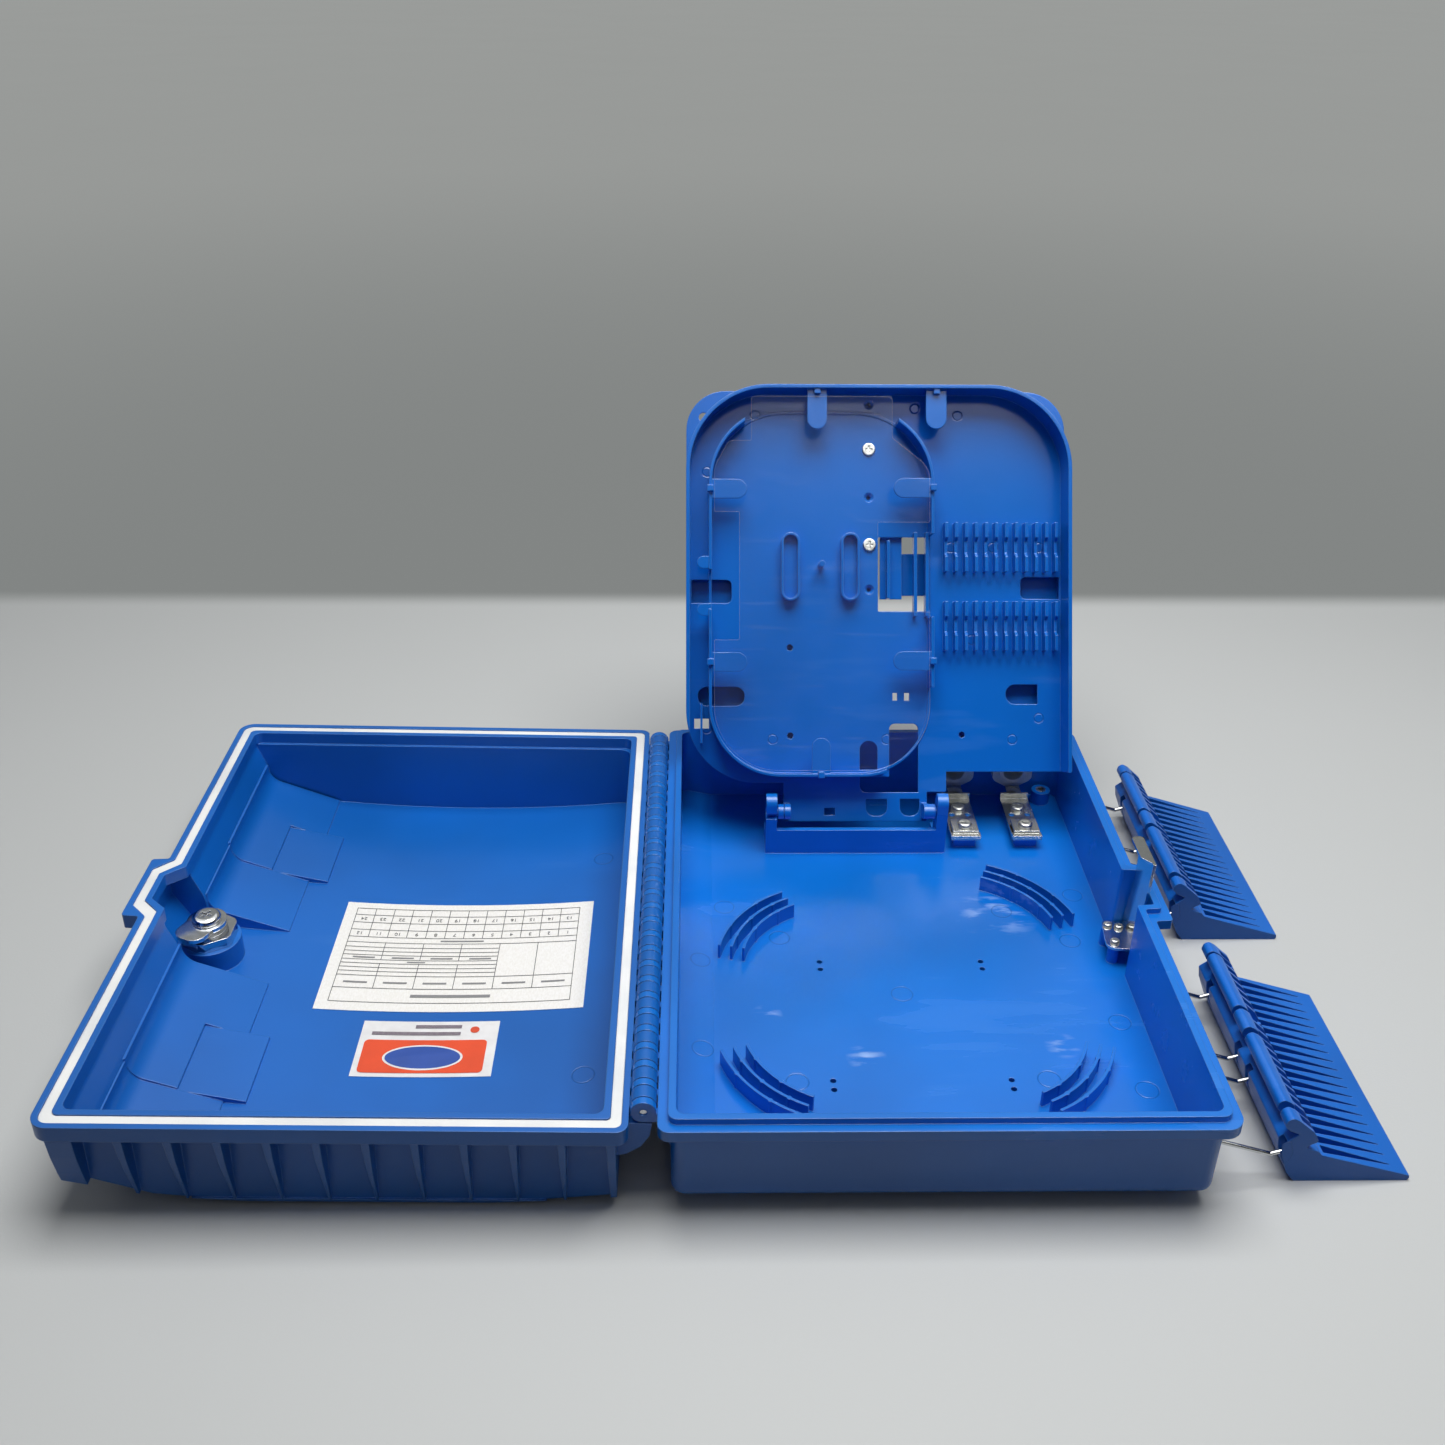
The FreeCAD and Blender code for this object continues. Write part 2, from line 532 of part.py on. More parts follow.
# Striker: bright sheet bent up from a screwed foot, with a tongue at the top for the lock cam.
stand_low = striker_x + " + 13"
stand_high = striker_x + " + 14.8"
foot = plate("striker_foot", [
    (striker_x, -8, 5), (stand_low + " + sheet_steel", -9.4, 0), (stand_low + " + sheet_steel", 13.8, 0),
    (striker_x + " + 2.4", 13.8, 2.5)], "striker_z + 0.02", "striker_z + sheet_steel")
lean = prism("striker_lean", "xz", [
    (stand_low, "striker_z + 0.02"), (stand_low + " + sheet_steel", "striker_z + 0.02"),
    (stand_high + " + sheet_steel", "striker_top"), (stand_high, "striker_top")], -12, 18)
face = prism("striker_face", "yz", [
    (-9.4, "striker_z"), (13.8, "striker_z"), (10.5, "rim_height + 2"), (12.5, "striker_top + 1"),
    (-9.4, "striker_top + 1")], striker_x, stand_high + " + 3")
hook = plate("striker_hook", [
    (stand_high + " - 4.4", -3, 2.5), (stand_high + " + sheet_steel", -9.4, 0.6),
    (stand_high + " + sheet_steel", 15.4, 2), (stand_high + " - 4.4", 14.6, 2)],
    "striker_top - sheet_steel", "striker_top")
striker_holes = [rod("striker_hole_%d" % place, "z", ("%s + %g" % (striker_x, across), along,
                                                      "striker_z - 1"), 1.5, 4)
                 for place, (across, along) in enumerate(STRIKER_SCREWS)]
stand = common("striker_stand", lean, face)
node(cut("striker_plate", fuse("striker_blank", foot, stand, hook), *striker_holes), "striker_plate")
striker_screws = doc.addObject("Part::Compound", "striker_screw_set")
striker_screws.Links = [
    pan_screw("striker_screw_%d" % place, ("%s + %g" % (striker_x, across), along,
                                           "striker_z + sheet_steel + 0.02"), 2.3, 1.8, 1.2, 8)
    for place, (across, along) in enumerate(STRIKER_SCREWS)]
node(striker_screws, "striker_screws")

# Lid, drawn level with its rim up and then tipped a degree about the hinge.
tilt = FreeCAD.Rotation(FreeCAD.Vector(0, 1, 0), number("lid_tilt"))
hinge_spot = FreeCAD.Vector(number(HINGE_X), 0, number("rim_height"))
LID_PLACE = FreeCAD.Placement(FreeCAD.Vector(), tilt, hinge_spot)
skirt = plate("lid_skirt_plate", lid_outline("0", "niche_half", "niche_half + 0.6", "corner_round",
                                             "corner_round - 3", 1.5), lid_z("lid_skirt"), "rim_height")
crown_z = lid_z("lid_depth") + " + crown_rad"
crown = rod("lid_crown", "y", (lid_x("crown_mid"), "-%s" % HALF_L, crown_z), "crown_rad", "base_length")
crown_in = rod("lid_crown_in", "y", (lid_x("crown_mid"), "-%s" % HALF_L, crown_z),
               "crown_rad - lid_wall", "base_length")
FLANK = ((0.5, 3), (0.5, "lid_skirt"), (1.6, 18), (3.6, 29), (6.2, 39), (9.6, "lid_depth + 2"))
flank = prism("lid_flank", "yz",
              [("%s - %g" % (HALF_L, inset), lid_z(depth)) for inset, depth in FLANK]
              + [("-(%s - %g)" % (HALF_L, inset), lid_z(depth)) for inset, depth in FLANK[::-1]],
              lid_x("base_width - 6"), lid_x(5))
body = common("lid_body", flank, crown)
bay_wall = prism("lid_bay", "xz", [
    (lid_x("base_width - 17"), lid_z(3)), (lid_x("base_width + niche_out - 5"), lid_z(3)),
    (lid_x("base_width + niche_out - 5"), lid_z(20)), (lid_x("base_width - 6"), lid_z(39)),
    (lid_x("base_width - 17"), lid_z(43))], "-niche_half", "niche_half")
# The lock stands a fixed way in from the lid's free edge and follows the crown's fall at that place.
LOCK_AT = "base_width - lock_u"
LOCK_SEAT = "lid_depth + 7.102225 - (%s - crown_mid)^2 / (2 * crown_rad)" % LOCK_AT
boss = rod("lock_boss", "z", (lid_x(LOCK_AT), 0, lid_z(LOCK_SEAT + " - 5.2")), 15, 15.8)
arms = []
for tag, low in (("near", BARREL_LOW), ("far", "-%s - 4" % BARREL_LOW)):
    arms.append(prism("lid_arm_" + tag, "xz", [
        (lid_x(8), lid_z(5)), (lid_x(-1), "rim_height - barrel_rad - 0.6"),
        (HINGE_X + " + 3.6", "rim_height - barrel_rad - 0.9"), (HINGE_X + " + 2.6", lid_z(13)),
        (HINGE_X + " - 1", lid_z(19)), (lid_x(1), lid_z(23)), (lid_x(8), lid_z(25))], low, low + " + 4"))

rib_first = "(base_width - 14.8)"
pockets = []
for side in (-1, 1):
    for k in range(11):
        low = "%s - %d * rib_pitch" % (rib_first, k)
        high = "%s - %d * rib_pitch" % (rib_first, k + 1)
        reach = ("-(%s)", "%s")[side > 0]
        edges = [reach % (HALF_L + " + 1"), reach % (HALF_L + " - 9.4")]
        edges.sort(key=number)
        pockets.append(prism("lid_pocket_%d_%d" % (side + 1, k), "xz", [
            (lid_x(low + " - 0.85 * rib_thick"), lid_z("lid_skirt")),
            (lid_x(low + " - 0.25 * rib_thick"), lid_z("lid_depth - 3.4")),
            (lid_x(high + " + 0.25 * rib_thick"), lid_z("lid_depth - 3.4")),
            (lid_x(high + " + 0.85 * rib_thick"), lid_z("lid_skirt"))], *edges))
flats = []
channels = []
for side, (low, high) in (("near", ("-" + HALF_L, "-niche_half - 4")), ("far", ("niche_half + 4", HALF_L))):
    flats.append(prism("lid_flat_" + side, "xz", [
        (lid_x("base_width - 40"), lid_z("lid_depth - 4.9")),
        (lid_x("base_width - 4"), lid_z("lid_depth - 17.8")),
        (lid_x("base_width - 4"), lid_z("lid_depth + 5")),
        (lid_x("base_width - 40"), lid_z("lid_depth + 5"))],
        low, high))
    inner_low = low if side == "far" else "-(%s - 8)" % HALF_L
    inner_high = high if side == "near" else "%s - 8" % HALF_L
    channels.append(prism("lid_channel_" + side, "xz", [
        (lid_x("base_width - 4"), lid_z(12.5)), (lid_x("base_width - 8.6"), lid_z(12.5)),
        (lid_x("base_width - 11"), lid_z(17)), (lid_x("base_width - 12.4"), lid_z(26)),
        (lid_x("base_width - 12.8"), lid_z("lid_depth")), (lid_x("base_width - 4"), lid_z("lid_depth"))],
        inner_low, inner_high))
lid_outer = cut("lid_outer", fuse("lid_mass", skirt, cut("lid_trimmed", body, *(pockets + flats + channels)),
                                  bay_wall, boss, *arms),
                box("lid_under", (lid_x("base_width + 20"), lid_x(-20)), both(HALF_L), (-30, 0)))

# Inside of the lid: rim opening, the swelling along the far wall, the niche and the tilted floor
# panels opposite each latch.
opening = plate("lid_opening", lid_outline("10.2", 9.5, 17, "corner_round - 4", "corner_round - 4", 1),
                lid_z(6.6), "rim_height + 5")
WALL_IN = "base_width - 15.5"
wall_bend = (lid_x(WALL_IN), lid_z(22))
wall_brow = (lid_x("base_width - 10.2"), lid_z(8.2))
room = prism("lid_room", "xz", [
    (lid_x(10.9), lid_z(6.5)), (lid_x(10.9), lid_z("lid_depth + 4")),
    (lid_x(WALL_IN), lid_z("lid_depth + 4")),
    wall_bend, wall_brow, (lid_x("base_width - 10.2"), lid_z(6.5))],
    "-(%s - 11.8)" % HALF_L, "%s - 11.8" % HALF_L)
room = soften("lid_room_soft", room, [
    (6, lambda edge: upright(edge) and abs(edge.Vertexes[0].X - number(lid_x(10.9))) < 1e-3),
    (24, lengthwise(wall_bend)), (7, lengthwise(wall_brow))])
bay_room = prism("lid_bay_room", "xz", [
    (lid_x(LOCK_AT + " - 20"), lid_z(6.5)), (lid_x("base_width + niche_out - 7.6"), lid_z(6.5)),
    (lid_x("base_width + niche_out - 7.6"), lid_z(19)), (lid_x("base_width - 8.4"), lid_z(36)),
    (lid_x(LOCK_AT + " - 20"), lid_z(40))], "-(niche_half - 2.6)", "niche_half - 2.6")


def slope(name, low_u, low_rise, high_u, high_rise, low_y, high_y):
    """Tilted floor panel; where it meets the end wall it runs up it in a hollow round."""
    wall_u = number("base_width") - number(WALL_IN)
    foot_at = (lid_x("base_width - %g" % low_u), lid_z("lid_depth - %g" % low_rise))
    head_at = (lid_x("base_width - %g" % high_u), lid_z("lid_depth - %g" % high_rise))
    deep = lid_z("lid_depth + 6")
    if high_u > wall_u:
        return prism(name, "xz", [foot_at, head_at, (head_at[0], deep), (foot_at[0], deep)], low_y, high_y)
    meet = low_rise + (high_rise - low_rise) * (low_u - wall_u) / (low_u - high_u)
    corner = (lid_x(WALL_IN), lid_z("lid_depth - %g" % meet))
    block = prism(name + "_block", "xz", [
        foot_at, corner, (lid_x(WALL_IN), lid_z("lid_depth - %g" % (meet + 9))),
        (lid_x("base_width - 9"), lid_z("lid_depth - %g" % (meet + 9))), (lid_x("base_width - 9"), deep),
        (foot_at[0], deep)], low_y, high_y)
    return soften(name, block, [(10, lengthwise(corner))])


rises = [slope("lid_rise_near", 42, 7.4, 10, 18.8, "-" + HALF_L, "-niche_half - 1"),
         slope("lid_rise_far", 42, 7.4, 10, 18.8, "niche_half + 1", HALF_L)]
# Opposite each latch: a long tilted panel in two steps, with a flatter panel let into its middle.
PANELS = (("low", 54.5, 7.3, 10, 23.4, 22.6, 66), ("mid", 35.5, 14.94, 10, 24.8, 66, 108),
          ("high", 54.5, 7.6, 10, 24.8, 108, 145.6), ("flat", 64.5, 7.1, 35.5, 13.6, 66, 108))
for tag, shift in (("far", "0"), ("near", "-latch_step")):
    for name, low_u, low_rise, high_u, high_rise, low_y, high_y in PANELS:
        rises.append(slope("lid_panel_%s_%s" % (name, tag), low_u, low_rise, high_u, high_rise,
                           "%g + %s" % (low_y, shift), "%g + %s" % (high_y, shift)))
hollowing = cut("lid_hollowing", common("lid_hollow", fuse("lid_rooms", room, bay_room), crown_in), *rises)
boss_keep = rod("lock_boss_keep", "z", (lid_x(LOCK_AT), 0, lid_z(LOCK_SEAT + " + 3")), 15, 23.9)
groove = cut("lid_groove", plate("lid_groove_out", lid_outline("gasket_inset - 0.1", 14.6, 23,
                                                              "corner_round - 3", "corner_round - 5", 1.5),
                                 lid_z("gasket_tall + 0.7"), "rim_height + 1"),
             plate("lid_groove_in", lid_outline("gasket_inset + gasket_wide + 0.1", 10.8, 19.2,
                                                "corner_round - 5", "corner_round - 6", 1.5),
                   lid_z("gasket_tall + 2"), "rim_height + 2"))
lid_barrel = rod("lid_barrel", "y", (HINGE_X, BARREL_LOW, "rim_height"), "barrel_rad", BARREL_LONG)
lid_web = box("lid_web", (LID_X + " - 1", HINGE_X), (BARREL_LOW, BARREL_LOW + " + " + BARREL_LONG),
              ("rim_height - flange_thick", "rim_height - 0.8"))
lid_slots = []
for k in range(KNUCKLES + 1):
    low = "%s + %d * knuckle_pitch - knuckle_gap" % (BARREL_LOW, k)
    lid_slots.append(box("lid_slot_%d" % k, (LID_X + " + 0", HINGE_X + " + barrel_rad + 1"),
                         (low, low + " + base_knuckle + 2 * knuckle_gap"),
                         ("rim_height - barrel_rad - 0.5", "rim_height + barrel_rad + 1")))
lid_leaf = cut("lid_knuckles", fuse("lid_leaf", lid_barrel, lid_web), *lid_slots)
lid_bore = rod("lid_pin_bore", "y", (HINGE_X, BARREL_LOW + " - 1", "rim_height"), "pin_rad + pin_play",
               BARREL_LONG + " + 2")
lock_bore = rod("lock_bore", "z", (lid_x(LOCK_AT), 0, lid_z("lid_depth + 3")), "lock_rad + 0.1",
                "lid_depth")
lid_core = cut("lid_core", lid_outer, opening, groove, cut("lid_scoop", hollowing, boss_keep))
lid_shell = cut("lid_shell", fuse("lid_whole", lid_core, lid_leaf), lid_bore, lock_bore)
node(lid_shell, "lid_shell", LID_PLACE)

# Foam gasket cord laid in the rim groove, jogging round the niche.
gasket = cut("gasket_ring", plate("gasket_out", lid_outline("gasket_inset", 14.5, 22.9, "corner_round - 3.1",
                                                           "corner_round - 5.1", 1.5),
                                  lid_z("gasket_tall + 0.6"), lid_z(0.6)),
             plate("gasket_in", lid_outline("gasket_inset + gasket_wide", 10.9, 19.3, "corner_round - 5",
                                            "corner_round - 6", 1.5),
                   lid_z("gasket_tall + 2"), "rim_height"))
node(gasket, "gasket", LID_PLACE)

# Quarter-turn lock through the lid: body with outer face, hex nut on the boss, cam and its screw.
lock_at = (lid_x(LOCK_AT), 0)
lock_body = cut("lock_body",
                fuse("lock_blank",
                     rod("lock_barrel", "z", lock_at + (lid_z(LOCK_SEAT + " - 4"),), "lock_rad", 25.55),
                     rod("lock_face", "z", lock_at + (lid_z(LOCK_SEAT + " - 2.6"),), "lock_rad + 4", 2.5)),
                rod("lock_socket", "z", lock_at + (lid_z(LOCK_SEAT),), 5, 7),
                rod("lock_spindle_bore", "z", lock_at + (lid_z(LOCK_SEAT + " - 22"),), 2.6, 10))
node(lock_body, "lock_body", LID_PLACE)
nut = hexagon("lock_nut_blank", "z", (lid_x(LOCK_AT), "0", lid_z(LOCK_SEAT + " - 21.05")), 25, 5.5)
nut_bore = rod("lock_nut_bore", "z", lock_at + (lid_z(LOCK_SEAT + " - 20"),), "lock_rad + 0.05", 8)
node(cut("lock_nut", nut, nut_bore), "lock_nut", LID_PLACE)
cam_low = lid_z(LOCK_SEAT + " - 29.6")
cam_hub = rod("cam_hub", "z", lock_at + (cam_low,), 9.5, 2.2)
cam_blade = box("cam_blade", (lid_x(LOCK_AT + " + cam_reach"), lid_x(LOCK_AT)), (-8, 8),
                (cam_low, cam_low + " + 2.2"))
cam_blade = soften("cam_blade_soft", cam_blade, [(6, lambda edge: upright(edge) and (
    edge.Vertexes[0].X < number(lid_x(LOCK_AT + " + 1"))))])
cam_hole = rod("cam_hole", "z", lock_at + (cam_low + " - 1",), 2.6, 5)
cam = cut("lock_cam", fuse("cam_blank", cam_hub, cam_blade), cam_hole)
CAM_TURN = 66
lock_spot = FreeCAD.Vector(number(lid_x(LOCK_AT)), 0, 0)
cam_twist = FreeCAD.Rotation(FreeCAD.Vector(0, 0, 1), CAM_TURN)
CAM_REST = FreeCAD.Placement(FreeCAD.Vector(), cam_twist, lock_spot)
node(cam, "lock_cam", LID_PLACE.multiply(CAM_REST))
bolt_low = cam_low + " + 2.22"
bolt_head = soften("cam_screw_head", rod("cam_screw_cap", "z", lock_at + (bolt_low,), 7, 3.4),
                   [(2.4, level_at(number(bolt_low) + 3.4))])
bolt = cut("cam_screw",
           fuse("cam_screw_blank", bolt_head,
                rod("cam_screw_stem", "z", lock_at + (bolt_low + " - 8",), 2.55, 8.6)),
           box("cam_cross_a", (lid_x(LOCK_AT + " + 3"), lid_x(LOCK_AT + " - 3")), (-0.7, 0.7),
               (bolt_low + " + 1.8", bolt_low + " + 5")),
           box("cam_cross_b", (lid_x(LOCK_AT + " + 0.7"), lid_x(LOCK_AT + " - 0.7")), (-3, 3),
               (bolt_low + " + 1.8", bolt_low + " + 5")))
node(bolt, "cam_screw", LID_PLACE.multiply(CAM_REST))

# Paper record sheet and small colour label stuck to the curved lid floor.
SHEETS = (("record_sheet", 27, 158, -34, 51), ("colour_label", 66.5, 131.5, -78.5, -41))
for tag, u_low, u_high, y_low, y_high in SHEETS:
    over = rod(tag + "_outer", "y", (lid_x("crown_mid"), y_low, crown_z), "crown_rad - lid_wall - 0.06",
               y_high - y_low)
    under = rod(tag + "_inner", "y", (lid_x("crown_mid"), y_low - 1, crown_z), "crown_rad - lid_wall - 0.36",
                y_high - y_low + 2)
    window = box(tag + "_window", (lid_x(u_high), lid_x(u_low)), (y_low, y_high),
                 (lid_z("lid_depth + 1"), lid_z("lid_depth - 14")))
    node(common(tag, cut(tag + "_skin", over, under), window), tag, LID_PLACE)

# Splice tray, drawn flat with its splice side up and then leant back on the bracket.
TRAY_PLACE = FreeCAD.Placement(
    FreeCAD.Vector(0, number("pivot_y"), number("pivot_z")),
    FreeCAD.Rotation(FreeCAD.Vector(1, 0, 0), number("tray_lean")))
plate_low = "-tray_back - tray_plate"
plate_top = "-tray_back"
wall_top = "tray_wall - tray_back"
leaf_right = "post_right - 3.6"
leaf_left = "post_left + post_thick + 4.2"
deck = plate("tray_deck", [
    ("tray_left", "tray_top", 22), ("tray_right", "tray_top", 22), ("tray_right", "tray_low", 2),
    ("post_right + 7.3", "tray_low", 0), ("post_right + 7.3", 10.4, 1), (leaf_right, 10.4, 0),
    (leaf_right, -6, 1), (leaf_left, -6, 1), (leaf_left, 15.5, 0), ("tray_left", 15.5, 40)],
    plate_low, plate_top)
rim_out = plate("tray_rim_out", [
    ("tray_left", "tray_top", 46), ("tray_right", "tray_top", 46), ("tray_right", "tray_low", 1),
    ("tray_left", "tray_low - 6.3", 40)], plate_low + " + 1", wall_top)
rim_in = plate("tray_rim_in", [
    ("tray_left + tray_skin", "tray_top - tray_skin", 44),
    ("tray_right - tray_skin", "tray_top - tray_skin", 44),
    ("tray_right - tray_skin", "tray_low - 20", 0), ("tray_left + 50", "tray_low - 20", 0),
    ("tray_left + 26", "tray_low - 4.3", 6), ("tray_left + tray_skin", "tray_low + 12", 24)],
    plate_low, wall_top + " + 1")
coil_out = plate("tray_coil_out", [
    ("tray_left + 12.6", 224, 42), (28.6, 224, 42), (28.6, 19.6, 40), ("tray_left + 12.6", 19.6, 40)],
    plate_low + " + 1", wall_top + " - 3")
coil_in = plate("tray_coil_in", [
    ("tray_left + 14.2", 222.4, 40.4), (27, 222.4, 40.4), (27, 21.2, 38.4),
    ("tray_left + 14.2", 21.2, 38.4)],
    plate_low, wall_top)
coil_gaps = [
    box("coil_gap_top", (-76, 9), (190, 230), (plate_top + " + 0.5", wall_top)),
    box("coil_gap_slot", (-100, -90), (112, 134), (plate_top + " + 0.5", wall_top)),
    box("coil_gap_right", (22, 32), (108, 154), (plate_top + " + 0.5", wall_top)),
    box("coil_gap_low", (2.5, 32), (15, 69), (plate_top + " + 0.5", wall_top))]
rim = cut("tray_rim", rim_out, rim_in)
coil = cut("tray_coil", cut("tray_coil_ring", coil_out, coil_in), *coil_gaps)

tray_parts = [deck, rim, coil]
tab_level = ("tray_wall - tray_back - 5", "tray_wall - tray_back - 3.4")


def tab(name, low_x, high_x, low_s, high_s, along):
    """Round-ended hold-down tab reaching in from a wall."""
    r = (high_x - low_x) / 2 if along else (high_s - low_s) / 2
    if along == "top":
        radii = (r, r, 0, 0)
    elif along == "low":
        radii = (0, 0, r, r)
    elif low_x < -60:
        radii = (0, r, r, 0)
    else:
        radii = (r, 0, 0, r)
    trim = 0.02
    return plate(name, [(low_x, low_s, max(radii[0] - trim, 0)), (high_x, low_s, max(radii[1] - trim, 0)),
                        (high_x, high_s, max(radii[2] - trim, 0)), (low_x, high_s, max(radii[3] - trim, 0))],
                 *tab_level)


tray_parts.append(tab("tab_top_a", -41.6, -30.8, 211.6, 234.5, "top"))
tray_parts.append(tab("tab_top_b", 24.0, 35.4, 211.8, 234.5, "top"))
tray_parts.append(tab("tab_left_a", -95.6, -75.1, 173.2, 183.8, None))
tray_parts.append(tab("tab_left_b", -95.6, -74.8, 77.6, 88.2, None))
tray_parts.append(tab("tab_right_a", 6.3, 28.2, 173.8, 184.6, None))
tray_parts.append(tab("tab_right_b", 6.1, 28.2, 78.3, 88.8, None))
tray_parts.append(tab("tab_low", -39, -28.8, 20, 41, "low"))
for tag, middle in (("upper", 137.9), ("lower", 111.8)):
    tray_parts.append(plate("tab_outer_" + tag, [
        (-102.4, middle - 3.4, 3.38), (-94.4, middle - 3.4, 0), (-94.4, middle + 3.4, 0),
        (-102.4, middle + 3.4, 3.38)], *tab_level))
for place, (across, along) in enumerate((
        (-95.2, 178.5), (-95.2, 82.9), (28, 179.2), (28, 83.5), (-33.9, 20.6), (-36.2, 232.4),
        (29.7, 232.4))):
    tray_parts.append(box("tab_root_%d" % place, (across - 1.7, across + 1.7), (along - 1.7, along + 1.7),
                          ("tray_wall - tray_back - 4.6", "tray_wall - tray_back - 0.8")))

for tag, middle in (("a", -50.2), ("b", -16.8)):
    ring = plate("boss_ring_" + tag, [(middle - 5.2, 117.6, 5.1), (middle + 5.2, 117.6, 5.1),
                                      (middle + 5.2, 155.6, 5.1), (middle - 5.2, 155.6, 5.1)],
                 plate_low + " + 1", plate_top + " + 6")
    core = plate("boss_core_" + tag, [(middle - 3.9, 118.9, 3.8), (middle + 3.9, 118.9, 3.8),
                                      (middle + 3.9, 154.3, 3.8), (middle - 3.9, 154.3, 3.8)],
                 plate_top + " + 1", plate_top + " + 7")
    tray_parts.append(cut("boss_" + tag, ring, core))
tray_parts.append(rod("coil_pin", "z", (-33, 137.7, plate_low + " + 1"), 1.7, "tray_back + 3"))
for row, low in enumerate((133.8, 89.8)):
    for k in range(12):
        middle = 36.6 + 5.6 * k
        tray_parts.append(prism("splice_fin_%d_%d" % (row, k), "yz", [
            (low, plate_low + " + 1"), (low + 27.4, plate_low + " + 1"), (low + 27.4, plate_top + " + 8"),
            (low + 19, plate_top + " + 8"), (low + 17, plate_top + " + 5.4"),
            (low + 10.4, plate_top + " + 5.4"),
            (low + 8.4, plate_top + " + 8"), (low, plate_top + " + 8")], middle - 0.8, middle + 0.8))
for k, middle in enumerate((19.7, 26.2)):
    tray_parts.append(box("window_rib_%d" % k, (middle - 0.9, middle + 0.9), (109, 156),
                          (plate_low, plate_top + " + 5")))
tray_parts.append(box("window_rib_tongue", (3.9, 5.5), (119, 151.5),
                      (plate_low + " - 2", plate_top + " + 4")))
tray_parts.append(box("window_rib_channel", (-100.6, -99.4), (38, 60), (plate_low, plate_top + " + 9")))
lug_left = (leaf_left, leaf_left + " + 3.4")
lug_right = (leaf_right + " - 3.4", leaf_right)
for tag, span, axle in (("left", lug_left, ("post_left + 0.6", leaf_left + " + 0.5")),
                        ("right", lug_right, (leaf_right + " - 0.5", "post_right + post_thick - 0.6"))):
    tray_parts.append(box("leaf_lug_" + tag, span, (-4.2, 4.2), (plate_low + " + 1", 0)))
    tray_parts.append(rod("leaf_lug_eye_" + tag, "x", (span[0], 0, 0), 4.2, 3.4))
    tray_parts.append(rod("leaf_axle_" + tag, "x", (axle[0], 0, 0), "axle_rad",
                          "%s - (%s)" % (axle[1], axle[0])))
    collar_at = "post_left + post_thick + 0.6" if tag == "left" else leaf_right + " - 0.2"
    tray_parts.append(rod("leaf_collar_" + tag, "x", (collar_at, 0, 0), 4.2, 3.2))


duct_low = plate_low + " - 7"
for tag, low_x, high_x, low_s, high_s in (
        ("left", "tray_left + 0.6", -72, 54.5, 134), ("right", 67.5, "tray_right - 0.6", 55.5, 136)):
    duct = plate("duct_" + tag, [
        (low_x, low_s, 4), (high_x, low_s, 4), (high_x, high_s, 4), (low_x, high_s, 4)],
        duct_low, plate_low + " + 0.6")
    hollow = plate("duct_room_" + tag, [
        ("%s + 1.4" % low_x, low_s + 1.4, 2.6), ("%s - 1.4" % high_x, low_s + 1.4, 2.6),
        ("%s - 1.4" % high_x, high_s - 1.4, 2.6), ("%s + 1.4" % low_x, high_s - 1.4, 2.6)],
        duct_low + " + 1.4", plate_low)
    tray_parts.append(cut("duct_shell_" + tag, duct, hollow))
tray_parts.append(box("window_strip", (12, 31), (121.4, 145.2), (duct_low, duct_low + " + 1.4")))
tray_parts.append(box("window_strip_end", (29.6, 31), (121.4, 145.2), (duct_low, plate_low + " + 0.6")))
BLIND = ((-50.4, 91.6, 1.7), (-50.1, 42.1, 1.7), (46.5, 42.6, 1.7), (-6, 228.1, 1.3), (-6, 176, 1.3),
         (-5.7, 124.3, 1.3))
for place, (across, along, radius) in enumerate(BLIND):
    tray_parts.append(rod("blind_boss_%d" % place, "z", (across, along, plate_low + " - 5"), 3.2, 5.6))


def through(name, low_x, high_x, low_s, high_s, radii):
    return plate(name, [(low_x, low_s, radii[0]), (high_x, low_s, radii[1]), (high_x, high_s, radii[2]),
                        (low_x, high_s, radii[3])], plate_low + " - 1", plate_top + " + 0.4")


tray_holes = [
    through("slot_left", -105.6, -83.1, 116.5, 129.5, (0, 3, 3, 0)),
    through("slot_oblong", -102, -75.8, 58.8, 69.5, (5.2, 5.2, 5.2, 5.2)),
    through("slot_right", 79.6, 101.4, 119.1, 131.4, (3, 0, 0, 3)),
    through("slot_d", 71.3, 89.3, 59.9, 70.9, (5.3, 0, 0, 5.3)),
    through("window", -0.7, 28.4, 112, 153.6, (0.6, 0.6, 0.6, 0.6)),
    through("channel_window", -104, -95.8, 46.2, 51.6, (0, 0, 0, 0)),
    through("square_a", 7.5, 10.1, 61.9, 66.1, (0, 0, 0, 0)),
    through("square_b", 14, 16.9, 61.9, 66.1, (0, 0, 0, 0)),
    through("ell_tall", 5.6, 21.9, 10.2, 48.8, (0, 0, 3, 3)),
    through("ell_foot", -11, 9, 10.2, 19, (4, 0, 0, 0)),
    through("oblong_low", -11, -1, 23, 39.1, (0, 0, 4.9, 4.9)),
    through("leaf_slot_a", -7.5, 4.3, -3, 6.5, (4.6, 4.6, 0, 0)),
    through("leaf_slot_b", 11.6, 22.6, -3, 6.5, (4.6, 4.6, 0, 0)),
    through("leaf_square", -31, -25, -2.5, 1.5, (0, 0, 0, 0))]
for place, (across, along, radius) in enumerate((
        (-98.9, 220.8, 2.6), (93.3, 221.5, 2.6), (-6.1, 202.9, 1.6), (-5.7, 149.3, 1.6))):
    tray_holes.append(rod("tray_hole_%d" % place, "z", (across, along, plate_low + " - 1"), radius,
                          "tray_plate + 1.4"))
